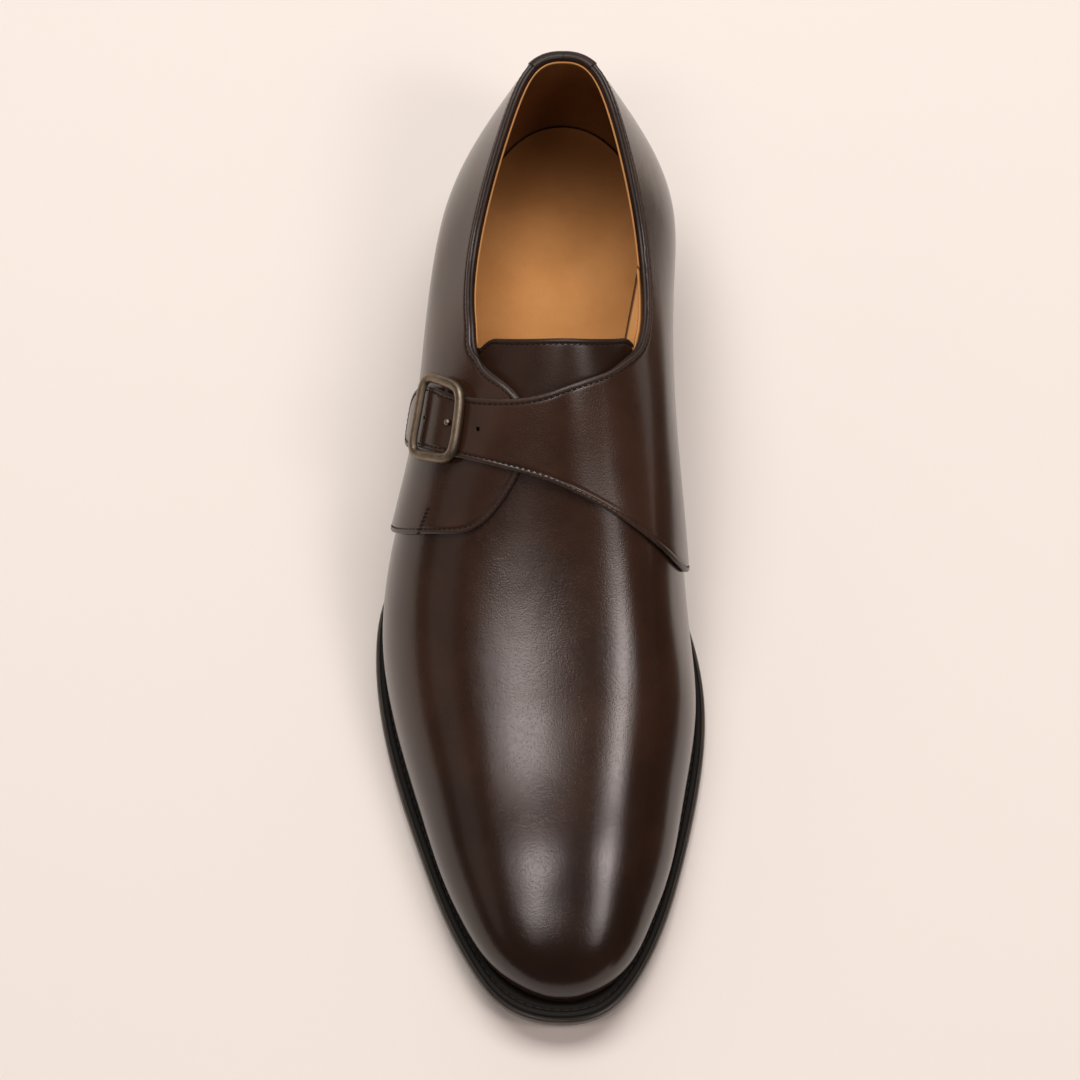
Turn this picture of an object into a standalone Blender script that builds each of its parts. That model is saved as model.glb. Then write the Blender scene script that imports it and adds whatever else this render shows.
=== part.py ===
# A single monk strap shoe for the right foot, toe at -Y, inner side at +X,
# standing on its heel and forefoot with the floor at Z = 0.
import math

import bmesh
import bpy
import numpy as np

MM = 0.001

# Sizes that drive the shoe, in metres.
UPPER_LENGTH = 0.2924
TOE_MARGIN = 0.0061
HEEL_MARGIN = 0.0026
BALL_WIDTH = 0.1056
INSTEP_HEIGHT = 0.097
HEEL_HEIGHT = 0.0235
TOE_SPRING = 0.0085
OUTSOLE_THICK = 0.0050
WELT_THICK = 0.0032
WALL = 0.0021
SEAT_TUCK = 0.0018
SEAT_TUCK_HEIGHT = 0.014
BACK_LEAN = 0.0050
BACK_LEAN_START = 0.018
BACK_LEAN_SPAN = 0.042
OVERLAY_THICK = 0.0012
STRAP_THICK = 0.0015
TONGUE_THICK = 0.0016
SOCK_THICK = 0.0017
GAP = 0.0003
OVERLAY_GAP = 0.00055
TONGUE_GAP = 0.0010
LIFT_GAP = 0.0001
TOP_PIECE_THICK = 0.0062
BUCKLE_BAR = 0.0022
BUCKLE_BOW = 0.0006
HIDDEN_BAR = 0.0012
PRONG = 0.0016
PRONG_BALL = 0.0021
SOLE_BEVEL = 0.0013
SOLE_EASE = 0.0002
WELT_STEP = 0.0010
WELT_BEVEL = 0.0008
HEEL_STEP = 0.0008
HEEL_TAPER = 0.0017
HEEL_CHAMFER = 0.0008
HEEL_BOW = 0.006
FLOAT_GAP = 0.0009

# Where the shoe lies: the heel to toe line of the last is beside the middle
# of the box, because the ball bulges outward on the little toe side.
AXIS_X = 0.0071
SOLE_LENGTH = TOE_MARGIN + UPPER_LENGTH + HEEL_MARGIN
SOLE_TOE_Y = -SOLE_LENGTH / 2.0
UPPER_TOE_Y = SOLE_TOE_Y + TOE_MARGIN

# Bottom line: forefoot flat between these shares of the sole from the toe,
# heel breast and the end of the rise under the waist.
FLAT_FRONT = 0.312
FLAT_BACK = 0.440
RISE_END = 0.799
BREAST = 0.764

# Sections of the last. along: share of the upper length from the toe.
# Widths are shares of the ball width to the outer (lateral) and inner
# (medial) side of the axis, heights shares of the instep height above the
# feather line. The first and last rows hold how fast the rounded ends open.
# along, feather out, in, belly out, in, high, shoulder out, in, high,
# crest side, crest high
LAST = (
    (0.0000, 0.511, 0.502, 0.521, 0.511, 0.144, 0.379, 0.369, 0.392, 0.000, 0.474),
    (0.0375, 0.202, 0.186, 0.208, 0.192, 0.057, 0.144, 0.133, 0.146, 0.002, 0.175),
    (0.0887, 0.282, 0.249, 0.294, 0.259, 0.067, 0.204, 0.182, 0.196, 0.008, 0.239),
    (0.1569, 0.356, 0.307, 0.369, 0.318, 0.082, 0.256, 0.227, 0.245, 0.015, 0.304),
    (0.2422, 0.438, 0.360, 0.451, 0.369, 0.098, 0.312, 0.265, 0.309, 0.025, 0.379),
    (0.3274, 0.498, 0.388, 0.514, 0.399, 0.119, 0.360, 0.294, 0.371, 0.030, 0.454),
    (0.4059, 0.517, 0.366, 0.540, 0.383, 0.144, 0.374, 0.284, 0.438, 0.032, 0.531),
    (0.4980, 0.438, 0.280, 0.508, 0.356, 0.206, 0.343, 0.265, 0.533, 0.025, 0.636),
    (0.5832, 0.352, 0.237, 0.444, 0.328, 0.247, 0.299, 0.250, 0.574, 0.013, 0.708),
    (0.6855, 0.309, 0.252, 0.403, 0.311, 0.227, 0.282, 0.254, 0.521, 0.004, 0.742),
    (0.7708, 0.307, 0.286, 0.380, 0.320, 0.196, 0.273, 0.252, 0.439, 0.000, 0.742),
    (0.8561, 0.301, 0.295, 0.343, 0.324, 0.175, 0.231, 0.222, 0.466, 0.000, 0.784),
    (0.9345, 0.237, 0.237, 0.256, 0.256, 0.160, 0.165, 0.165, 0.511, 0.000, 0.835),
    (1.0000, 0.540, 0.540, 0.568, 0.568, 0.155, 0.426, 0.426, 0.562, 0.000, 0.861),
)

# Outline of the sole. along: share of the sole length from the toe, widths
# as shares of the ball width; the end rows again hold the rounded ends.
# along, outer half width, inner half width
SOLE = (
    (0.0000, 0.7576, 0.7197),
    (0.0242, 0.1960, 0.1723),
    (0.0561, 0.2670, 0.2377),
    (0.1043, 0.3400, 0.3011),
    (0.1850, 0.4280, 0.3684),
    (0.2667, 0.5028, 0.4157),
    (0.3491, 0.5540, 0.4328),
    (0.4158, 0.5663, 0.4053),
    (0.4719, 0.5398, 0.3561),
    (0.5450, 0.4318, 0.2898),
    (0.6380, 0.3617, 0.2670),
    (0.7376, 0.3428, 0.3049),
    (0.8373, 0.3409, 0.3314),
    (0.9203, 0.2860, 0.2841),
    (1.0000, 0.5966, 0.5966),
)

# Top line of the upper and the throat under the strap. Each row gives how
# far up the side the edge lies: 0 at the feather line, 1 at the crest.
# section, outer side, inner side
TOPLINE = (
    (0.528, 1.000, 1.000),
    (0.545, 0.900, 0.912),
    (0.565, 0.825, 0.845),
    (0.575, 0.775, 0.800),
    (0.585, 0.720, 0.755),
    (0.603, 0.668, 0.694),
    (0.620, 0.658, 0.666),
    (0.638, 0.650, 0.660),
    (0.676, 0.650, 0.667),
    (0.715, 0.658, 0.673),
    (0.753, 0.668, 0.681),
    (0.797, 0.677, 0.686),
    (0.855, 0.680, 0.684),
    (0.920, 0.668, 0.670),
    (1.000, 0.640, 0.640),
)

# Lateral quarter: its top edge paired with its bottom and front edge.
# side runs from -1 at the outer feather over 0 at the crest to 1 inside.
# top section, top side, bottom section, bottom side
QUARTER_OUT = (
    (0.9985, -0.360, 0.9985, -1.000),
    (0.9200, -0.332, 0.9200, -1.000),
    (0.8550, -0.320, 0.8500, -1.000),
    (0.7970, -0.323, 0.7850, -1.000),
    (0.7530, -0.332, 0.7300, -1.000),
    (0.7150, -0.342, 0.6800, -1.000),
    (0.6760, -0.350, 0.6250, -1.000),
    (0.6380, -0.350, 0.5750, -1.000),
    (0.6200, -0.342, 0.5300, -1.000),
    (0.6050, -0.338, 0.5110, -0.790),
    (0.5960, -0.313, 0.4956, -0.575),
    (0.5850, -0.280, 0.4857, -0.385),
    (0.5750, -0.225, 0.4857, -0.265),
    (0.5650, -0.175, 0.5035, -0.190),
    (0.5450, -0.100, 0.5200, -0.150),
)

# The quarters end just above the welt.
QUARTER_FOOT = 0.970

# Medial quarter running on into the strap, paired the same way.
QUARTER_IN = (
    (0.9985, 0.360, 0.9985, 1.000),
    (0.9200, 0.330, 0.9200, 1.000),
    (0.8550, 0.316, 0.8500, 1.000),
    (0.7970, 0.314, 0.7850, 1.000),
    (0.7530, 0.319, 0.7250, 1.000),
    (0.7150, 0.327, 0.6700, 1.000),
    (0.6760, 0.333, 0.6120, 1.000),
    (0.6380, 0.340, 0.5550, 1.000),
    (0.6200, 0.334, 0.5000, 1.000),
    (0.6030, 0.305, 0.4850, 0.800),
    (0.5887, 0.230, 0.4730, 0.590),
    (0.5788, 0.150, 0.4777, 0.365),
    (0.5709, 0.035, 0.4877, 0.210),
    (0.5649, -0.070, 0.4976, 0.090),
    (0.5630, -0.160, 0.5115, -0.060),
    (0.5649, -0.245, 0.5213, -0.200),
    (0.5689, -0.330, 0.5313, -0.340),
    (0.5760, -0.410, 0.5370, -0.415),
    (0.5868, -0.510, 0.5451, -0.520),
    (0.5893, -0.595, 0.5510, -0.605),
    (0.5855, -0.645, 0.5580, -0.650),
    (0.5775, -0.668, 0.5660, -0.670),
)

# Straps of leather lie over each other, so the strap climbs from the inner
# quarter onto the outer one and then over the bar of the buckle.
STRAP_CLIMB = (0.14, -0.05)
STRAP_ON_BAR = (-0.440, 0.085)
BAR_RISE = 0.0015
STRAP_END_RISE = 0.5

# The buckle in the strap's own way: section and side of its four corners.
# top near, bottom near, bottom far, top far; near is towards the crest
BUCKLE_CORNERS = (
    (0.5749, -0.3355),
    (0.5296, -0.3475),
    (0.5406, -0.5175),
    (0.5924, -0.4975),
)

# Where the prong stands in the strap: section, side.
PRONG_PLACE = (0.5548, -0.384)

# Heel tab: sections it spans on each side and how far down it comes.
TAB_REACH = 0.930
TAB_TOP = 0.345
TAB_DEPTH = (0.40, 0.19)

# Tongue: front end, half width, top edge with its rounded corners.
TONGUE_FRONT = 0.452
TONGUE_SIDE = 0.360
TONGUE_TOP = (0.5977, 0.142)
TONGUE_CORNER = (0.275, 0.070, 0.0085)

# How finely the faceted forms are cut.
UPPER_ROWS = 44
UPPER_COLUMNS = 9
SOLE_ROWS = 34
SOLE_COLUMNS = 4
RING_COLUMNS = 40


def clear_scene():
    for thing in list(bpy.data.objects):
        bpy.data.objects.remove(thing, do_unlink=True)


def smooth(value):
    value = np.clip(value, 0.0, 1.0)
    return value * value * (3.0 - 2.0 * value)


def bending(knots):
    # Matrix that turns values at the knots into second derivatives.
    count = len(knots)
    step = np.diff(knots)
    left = np.zeros((count, count))
    right = np.zeros((count, count))
    left[0, 0] = 1.0
    left[-1, -1] = 1.0
    for i in range(1, count - 1):
        left[i, i - 1] = step[i - 1]
        left[i, i] = 2.0 * (step[i - 1] + step[i])
        left[i, i + 1] = step[i]
        right[i, i - 1] = 6.0 / step[i - 1]
        right[i, i] = -6.0 / step[i - 1] - 6.0 / step[i]
        right[i, i + 1] = 6.0 / step[i]
    return np.linalg.solve(left, right)


def spline(knots, values, where):
    # Smooth curve through the rows of a table.
    knots = np.asarray(knots, float)
    values = np.asarray(values, float)
    bend = bending(knots) @ values
    step = np.diff(knots)
    where = np.asarray(where, float)
    k = np.clip(np.searchsorted(knots, where) - 1, 0, len(knots) - 2)
    a = ((knots[k + 1] - where) / step[k])[..., None]
    b = ((where - knots[k]) / step[k])[..., None]
    h = (step[k] ** 2 / 6.0)[..., None]
    curve = a * values[k] + b * values[k + 1]
    return curve + ((a ** 3 - a) * bend[k] + (b ** 3 - b) * bend[k + 1]) * h


def section_of(along):
    return np.arccos(1.0 - 2.0 * np.clip(along, 0.0, 1.0)) / math.pi


def swell(section):
    return np.sin(math.pi * section)


def front_swell(section):
    return np.sin(math.pi * np.minimum(section, 0.5))


def bottom(y):
    # Height of the underside of the sole: toe spring, flat, waist, heel.
    u = (y - SOLE_TOE_Y) / SOLE_LENGTH
    toe = TOE_SPRING * np.clip(1.0 - u / FLAT_FRONT, 0.0, 1.0) ** 1.75
    k = np.clip((u - FLAT_BACK) / (RISE_END - FLAT_BACK), 0.0, 1.0)
    gentle = k * k * (3.0 - 2.0 * k)
    steep = k ** 3 * (k * (6.0 * k - 15.0) + 10.0)
    return toe + HEEL_HEIGHT * (0.45 * gentle + 0.55 * steep)


def prepare(table, heights):
    # Turn the rows into fullness against the rounded ends.
    rows = np.array(table, float)
    section = section_of(rows[:, 0])
    full = rows[:, 1:].copy()
    for c in range(full.shape[1]):
        if c in heights:
            full[1:, c] *= INSTEP_HEIGHT / front_swell(section[1:])
            full[0, c] *= INSTEP_HEIGHT
        else:
            full[1:-1, c] *= BALL_WIDTH / swell(section[1:-1])
            full[0, c] *= BALL_WIDTH
            full[-1, c] *= BALL_WIDTH
    return section, full


HEIGHT_COLUMNS = (4, 7, 9)
LAST_SECTION, LAST_FULL = prepare(LAST, HEIGHT_COLUMNS)
SOLE_SECTION, SOLE_FULL = prepare(SOLE, ())
SIDE_KNOTS = np.array((-1.0, -0.74, -0.37, 0.0, 0.37, 0.74, 1.0))
SIDE_BENDING = bending(SIDE_KNOTS)


def around(values, side):
    # Smooth curve over the seven points of one section.
    bend = values @ SIDE_BENDING.T
    step = np.diff(SIDE_KNOTS)
    k = np.clip(np.searchsorted(SIDE_KNOTS, side) - 1, 0, 5)
    a = (SIDE_KNOTS[k + 1] - side) / step[k]
    b = (side - SIDE_KNOTS[k]) / step[k]
    here = k[..., None]
    low = np.take_along_axis(values, here, -1)[..., 0]
    high = np.take_along_axis(values, here + 1, -1)[..., 0]
    low_bend = np.take_along_axis(bend, here, -1)[..., 0]
    high_bend = np.take_along_axis(bend, here + 1, -1)[..., 0]
    curve = (a ** 3 - a) * low_bend + (b ** 3 - b) * high_bend
    return a * low + b * high + curve * step[k] ** 2 / 6.0


def last_point(section, side):
    # The outside of the plain upper at a section and a place around it.
    section = np.asarray(section, float)
    side = np.asarray(side, float)
    section, side = np.broadcast_arrays(section, side)
    full = spline(LAST_SECTION, LAST_FULL, section)
    width = full * swell(section)[..., None]
    height = full * front_swell(section)[..., None]
    zero = np.zeros(section.shape)
    across = np.stack((
        -width[..., 0], -width[..., 2], -width[..., 5], width[..., 8],
        width[..., 6], width[..., 3], width[..., 1]), -1)
    upward = np.stack((
        zero, height[..., 4], height[..., 7], height[..., 9],
        height[..., 7], height[..., 4], zero), -1)
    x = around(across, side)
    rise = around(upward, side)
    y = UPPER_TOE_Y + UPPER_LENGTH * (1.0 - np.cos(math.pi * section)) / 2.0
    feather = bottom(y) + OUTSOLE_THICK + WELT_THICK + GAP
    back = np.clip((y - UPPER_TOE_Y) / UPPER_LENGTH / 0.18 - 4.555, 0, 1) ** 2
    tuck = SEAT_TUCK * np.clip(1.0 - rise / SEAT_TUCK_HEIGHT, 0.0, 1.0) ** 2
    tall = np.clip((rise - BACK_LEAN_START) / BACK_LEAN_SPAN, 0.0, 2.0)
    lean = BACK_LEAN * tall ** 1.5
    return np.stack((x + AXIS_X, y - back * (tuck + lean), feather + rise), -1)


def last_normal(section, side):
    section, side = np.broadcast_arrays(
        np.asarray(section, float), np.asarray(side, float))
    h = 1.0e-4
    before = np.clip(section - h, 1.0e-5, 1.0)
    after = np.clip(section + h, 0.0, 1.0 - 1.0e-6)
    along = last_point(after, side) - last_point(before, side)
    up = last_point(section, np.clip(side + h, -1.0, 1.0))
    up = up - last_point(section, np.clip(side - h, -1.0, 1.0))
    normal = np.cross(up, along)
    normal[section <= 1.0e-6] = (0.0, -1.0, 0.0)
    normal[section >= 1.0 - 1.0e-6, 0] = 0.0
    return normal / np.linalg.norm(normal, axis=-1, keepdims=True)


def lifted(section, side, offset):
    offset = np.asarray(offset, float)
    if offset.ndim:
        offset = offset[..., None]
    point = last_point(section, side) + last_normal(section, side) * offset
    floor = bottom(point[..., 1]) + OUTSOLE_THICK + WELT_THICK + GAP
    point[..., 2] = np.maximum(point[..., 2], floor)
    return point


def material(name, color, roughness, metallic=0.0):
    mat = bpy.data.materials.new(name)
    mat.use_nodes = True
    shader = mat.node_tree.nodes["Principled BSDF"]
    shader.inputs["Base Color"].default_value = (*color, 1.0)
    shader.inputs["Roughness"].default_value = roughness
    shader.inputs["Metallic"].default_value = metallic
    return mat


def welded(name, grids, mat, thickness=0.0):
    # Join grids of points into one mesh, sewn where they share points.
    mesh = bpy.data.meshes.new(name)
    bm = bmesh.new()
    for grid, closed in grids:
        rows, columns = grid.shape[:2]
        verts = [[bm.verts.new(p) for p in row] for row in grid]
        last = columns if closed else columns - 1
        for i in range(rows - 1):
            for j in range(last):
                n = (j + 1) % columns
                bm.faces.new((verts[i][j], verts[i][n],
                              verts[i + 1][n], verts[i + 1][j]))
    bmesh.ops.remove_doubles(bm, verts=bm.verts, dist=2.0e-6)
    bmesh.ops.dissolve_degenerate(bm, edges=bm.edges, dist=1.0e-6)
    if thickness == 0.0:
        bmesh.ops.recalc_face_normals(bm, faces=bm.faces)
    bm.to_mesh(mesh)
    bm.free()
    mesh.materials.append(mat)
    thing = bpy.data.objects.new(name, mesh)
    SHOE.objects.link(thing)
    if thickness:
        wall = thing.modifiers.new("wall", "SOLIDIFY")
        wall.thickness = thickness
        wall.offset = -1.0
        wall.use_even_offset = True
    return thing


def half_grid(section, top, hand, columns, offset):
    # One side of the upper from the feather up to the given height.
    share = np.linspace(0.0, 1.0, columns + 1)
    side = 1.0 - top[:, None] * share[None, :]
    where = np.repeat(section[:, None], columns + 1, axis=1)
    if hand < 0:
        return lifted(where, -side, offset)
    return lifted(where, side, offset)[:, ::-1]


def build_upper(mat):
    table = np.array(TOPLINE)
    throat = table[0, 0]
    front = np.linspace(0.0, throat, UPPER_ROWS // 2 + 4)
    rear = np.linspace(throat, 1.0, UPPER_ROWS // 2)
    near = throat + (rear[1] - throat) * np.array((0.30, 0.65))
    section = np.unique(np.concatenate((front, near, rear)))
    heights = spline(table[:, 0], table[:, 1:], np.maximum(section, throat))
    heights = np.clip(heights, 0.0, 1.0)
    heights[section <= throat] = 1.0
    grids = []
    for hand, column in ((-1, 0), (1, 1)):
        grid = half_grid(section, heights[:, column], hand, UPPER_COLUMNS, 0.0)
        grids.append((grid, False))
    return welded("upper", grids, mat, WALL)


def paired_grid(table, columns, rows):
    # Points between the two edges of a quarter: sections and sides.
    table = np.array(table)
    knots = np.arange(len(table), dtype=float)
    where = np.linspace(0.0, knots[-1], columns)
    edge = spline(knots, table, where)
    edge[:, (1, 3)] = np.clip(edge[:, (1, 3)], -QUARTER_FOOT, QUARTER_FOOT)
    share = np.linspace(0.0, 1.0, rows)[None, :]
    section = edge[:, 0:1] * (1.0 - share) + edge[:, 2:3] * share
    side = edge[:, 1:2] * (1.0 - share) + edge[:, 3:4] * share
    return section, side


def strap_height(side):
    # Underside of the strap above the plain upper.
    climb = (STRAP_CLIMB[0] - side) / (STRAP_CLIMB[0] - STRAP_CLIMB[1])
    bump = (side - STRAP_ON_BAR[0]) / STRAP_ON_BAR[1]
    rise = (OVERLAY_THICK + GAP + LIFT_GAP) * smooth(climb)
    hill = np.exp(-bump * bump)
    tail = STRAP_END_RISE + (1.0 - STRAP_END_RISE) * hill
    return OVERLAY_GAP + rise + BAR_RISE * np.where(bump < 0.0, tail, hill)


def build_quarter_out(mat):
    section, side = paired_grid(QUARTER_OUT, 29, 13)
    grid = lifted(section, side, OVERLAY_GAP + OVERLAY_THICK)
    return welded("quarter_lateral", [(grid, False)], mat, OVERLAY_THICK)


def build_quarter_in(mat):
    section, side = paired_grid(QUARTER_IN, 45, 14)
    grid = lifted(section, side, strap_height(side) + OVERLAY_THICK)
    grid = grid[:, ::-1]
    return welded("quarter_medial_strap", [(grid, False)], mat, OVERLAY_THICK)


def build_tongue(mat):
    side = np.linspace(-TONGUE_SIDE, TONGUE_SIDE, 15)[None, :]
    begin, width, drop = TONGUE_CORNER
    corner = np.clip((np.abs(side) - begin) / width, 0.0, 1.0)
    top = TONGUE_TOP[0] + TONGUE_TOP[1] * side ** 2 - drop * corner ** 2
    share = np.linspace(0.0, 1.0, 13)[:, None]
    section = TONGUE_FRONT + (top - TONGUE_FRONT) * share
    side = np.repeat(side, 13, axis=0)
    grid = lifted(section, side, -(WALL + TONGUE_GAP))
    return welded("tongue", [(grid, False)], mat, TONGUE_THICK)


def build_tab(mat):
    reach = np.linspace(1.0, 0.0, 8)
    section = 1.0 - (1.0 - TAB_REACH) * reach
    depth = TAB_DEPTH[0] + TAB_DEPTH[1] * np.sqrt(1.0 - reach ** 2)
    share = np.linspace(0.0, 1.0, 7)[None, :]
    side = depth[:, None] * (1.0 - share) + TAB_TOP * share
    where = np.repeat(section[:, None], 7, axis=1)
    height = 2.0 * (OVERLAY_GAP + OVERLAY_THICK)
    outer = lifted(where, -side, height)
    inner = lifted(where, side, height)[:, ::-1]
    return welded("heel_tab", [(outer, False), (inner, False)], mat,
                  OVERLAY_THICK)


def sole_edge(section, hand, inset):
    # Outline of the sole, drawn in by the inset.
    def place(s):
        half = spline(SOLE_SECTION, SOLE_FULL, s) * swell(s)[:, None]
        x = AXIS_X + hand * half[:, 0 if hand < 0 else 1]
        y = SOLE_TOE_Y + SOLE_LENGTH * (1.0 - np.cos(math.pi * s)) / 2.0
        return np.stack((x, y), -1)
    return inset_edge(place, section, hand, inset)


def feather_edge(section, hand, inset):
    # Outline of the upper where it meets the welt, drawn in by the inset.
    def place(s):
        return last_point(s, np.full(s.shape, float(hand)))[:, :2]
    return inset_edge(place, section, hand, inset)


def inset_edge(place, section, hand, inset):
    h = 2.0e-4
    ahead = np.clip(section + h, 0.0, 1.0)
    behind = np.clip(section - h, 0.0, 1.0)
    way = place(ahead) - place(behind)
    inward = np.stack((way[:, 1], -way[:, 0]), -1) * -hand
    inward[section <= 0.0] = (0.0, 1.0)
    inward[section >= 1.0] = (0.0, -1.0)
    inward = inward / np.linalg.norm(inward, axis=1, keepdims=True)
    return place(section) + inward * inset


def slab(name, mat, section, edge, rings, columns, bend=0.0):
    # A layer of the sole. rings: inset and height rule, from below upward.
    share = np.linspace(0.0, 1.0, columns + 1)[None, :, None]
    levels = []
    for inset, height in rings:
        a = edge(section, -1, inset)[:, None, :]
        b = edge(section, 1, inset)[:, None, :]
        flat = a * (1.0 - share) + b * share
        fade = np.clip(1.0 - np.arange(len(section)) / 4.0, 0.0, 1.0)
        bow = bend * (1.0 - (2.0 * share[..., 0] - 1.0) ** 2)
        flat[..., 1] += bow * fade[:, None] ** 2
        levels.append(np.concatenate(
            (flat, height(flat[..., 1])[..., None]), -1))
    loop = [levels[0][:, j] for j in range(columns + 1)]
    loop += [level[:, -1] for level in levels[1:]]
    loop += [levels[-1][:, j] for j in range(columns - 1, -1, -1)]
    loop += [level[:, 0] for level in levels[-2:0:-1]]
    grids = [(np.stack(loop, 1), True)]
    if section[0] > 0.0:
        grids.append((np.stack([level[0] for level in levels]), False))
    return welded(name, grids, mat)


def build_bottom(mats):
    whole = np.linspace(0.0, 1.0, SOLE_ROWS + 1)
    top = OUTSOLE_THICK
    slab("outsole", mats["outsole_edge"], whole, sole_edge, (
        (SOLE_BEVEL, lambda y: bottom(y)),
        (SOLE_EASE, lambda y: bottom(y) + SOLE_BEVEL),
        (0.0, lambda y: bottom(y) + top * 0.55),
        (SOLE_EASE, lambda y: bottom(y) + top - SOLE_BEVEL / 2.0),
        (SOLE_BEVEL, lambda y: bottom(y) + top)), SOLE_COLUMNS)
    under = OUTSOLE_THICK + GAP
    slab("insole", mats["sock"], whole, lambda s, hand, inset: feather_edge(
        s, hand, inset + WALL + FLOAT_GAP), (
        (0.0, lambda y: bottom(y) + under),
        (0.0, lambda y: bottom(y) + under + WELT_THICK + SOCK_THICK)),
        SOLE_COLUMNS)
    build_welt(mats["welt"])
    heel = np.linspace(section_of(BREAST), 1.0, 13)
    count = 3
    step = (HEEL_HEIGHT - TOP_PIECE_THICK) / count
    cuts = [0.0, TOP_PIECE_THICK]
    cuts += [TOP_PIECE_THICK + step * (i + 1) for i in range(count - 1)]
    names = ("top_piece", "heel_lift_1", "heel_lift_2", "heel_lift_3")
    for i, name in enumerate(names):
        low = cuts[i] + (LIFT_GAP if i else 0.0)
        if i < count:
            high = cuts[i + 1]
            rule = flat_height(high)
        else:
            high = HEEL_HEIGHT
            rule = under_sole
        mat = mats["rubber"] if i == 0 else mats["heel_stack"]
        chamfer = HEEL_CHAMFER if i == 0 else SOLE_EASE
        slab(name, mat, heel, sole_edge, (
            (heel_inset(low) + chamfer, flat_height(low)),
            (heel_inset(low), flat_height(low + chamfer)),
            (heel_inset(high), rule)), SOLE_COLUMNS, HEEL_BOW)


def heel_inset(height):
    return HEEL_STEP + HEEL_TAPER * (1.0 - height / HEEL_HEIGHT)


def flat_height(height):
    return lambda y: np.full(np.shape(y), height)


def under_sole(y):
    return bottom(y) - GAP


def build_welt(mat):
    # A closed strip round the shoe between the outsole and the upper.
    share = np.linspace(0.0, 1.0, RING_COLUMNS + 1)
    base = OUTSOLE_THICK + GAP
    high = OUTSOLE_THICK + WELT_THICK
    rules = (
        (sole_edge, WELT_STEP + WELT_BEVEL, base),
        (sole_edge, WELT_STEP, base + WELT_BEVEL),
        (sole_edge, WELT_STEP, high - WELT_BEVEL),
        (sole_edge, 2.0 * WELT_STEP, high),
        (feather_edge, WALL + GAP, high),
        (feather_edge, WALL + GAP, base),
    )
    rings = []
    for hand in (-1, 1):
        ring = []
        for edge, inset, height in rules:
            flat = edge(share, hand, inset)
            level = bottom(flat[:, 1]) + height
            ring.append(np.concatenate((flat, level[:, None]), -1))
        rings.append((np.stack(ring, 1), True))
    return welded("welt", rings, mat)


def buckle_place(across, down):
    # across 0 near to 1 far from the crest, down 0 top edge to 1 lower edge.
    corner = np.array(BUCKLE_CORNERS)
    near = corner[0] + (corner[1] - corner[0]) * down[..., None]
    far = corner[3] + (corner[2] - corner[3]) * down[..., None]
    spot = near + (far - near) * across[..., None]
    return spot[..., 0], spot[..., 1]


def build_buckle(mat):
    # Rounded frame lying on the strap, curved with the foot.
    count = 36
    turn = np.linspace(0.0, 2.0 * math.pi, count, endpoint=False)
    power = 0.42
    ca = np.cos(turn)
    sa = np.sin(turn)
    across = 0.5 - 0.5 * np.sign(ca) * np.abs(ca) ** power
    down = 0.5 - 0.5 * np.sign(sa) * np.abs(sa) ** power
    section, side = buckle_place(across, down)
    bump = BUCKLE_BOW * np.abs(ca) ** 2
    near, far = strap_top(np.array((-0.335, -0.510)))
    high = near + (far - near) * across + 2.0 * GAP
    centre = lifted(section, side, high + BUCKLE_BAR / 2.0 + bump)
    normal = last_normal(section, side)
    way = np.roll(centre, -1, axis=0) - np.roll(centre, 1, axis=0)
    way = way / np.linalg.norm(way, axis=1, keepdims=True)
    out = np.cross(way, normal)
    out = out / np.linalg.norm(out, axis=1, keepdims=True)
    loop = []
    for k in range(8):
        angle = 2.0 * math.pi * (k + 0.5) / 8.0
        wide = 0.74 * BUCKLE_BAR * math.cos(angle)
        tall = 0.50 * BUCKLE_BAR * math.sin(angle)
        loop.append(centre + out * wide + normal * tall)
    ring = np.stack(loop, 1)
    ring = np.concatenate((ring, ring[:1]))
    return welded("buckle_frame", [(ring, True)], mat)


def strap_top(side):
    return strap_height(side) + OVERLAY_THICK


def rod(name, path, radius, mat):
    # A round bar along a path, from a bevelled curve.
    curve = bpy.data.curves.new(name + "_path", "CURVE")
    curve.dimensions = "3D"
    curve.bevel_depth = radius
    curve.bevel_resolution = 2
    curve.use_fill_caps = True
    line = curve.splines.new("POLY")
    line.points.add(len(path) - 1)
    for point, place in zip(line.points, path):
        point.co = (*place, 1.0)
    holder = bpy.data.objects.new(name + "_path", curve)
    mesh = bpy.data.meshes.new_from_object(holder)
    bpy.data.objects.remove(holder, do_unlink=True)
    bm = bmesh.new()
    bm.from_mesh(mesh)
    bmesh.ops.remove_doubles(bm, verts=bm.verts, dist=2.0e-6)
    bmesh.ops.recalc_face_normals(bm, faces=bm.faces)
    bm.to_mesh(mesh)
    bm.free()
    mesh.name = name
    mesh.materials.append(mat)
    thing = bpy.data.objects.new(name, mesh)
    SHOE.objects.link(thing)
    return thing


def build_bar(mat):
    # Bar of the buckle under the strap.
    down = np.linspace(0.10, 0.90, 9)
    section, side = buckle_place(np.full(9, 0.52), down)
    height = strap_height(side) - GAP - HIDDEN_BAR / 2.0
    return rod("buckle_bar", lifted(section, side, height),
               HIDDEN_BAR / 2.0, mat)


def build_prong(mat):
    # Ball end of the prong, standing on the strap beside the frame.
    section, side = (np.full(3, place) for place in PRONG_PLACE)
    over = np.array((LIFT_GAP, PRONG / 2.0, PRONG))
    return rod("buckle_prong", lifted(section, side, strap_top(side) + over),
               PRONG_BALL / 2.0, mat)


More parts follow.
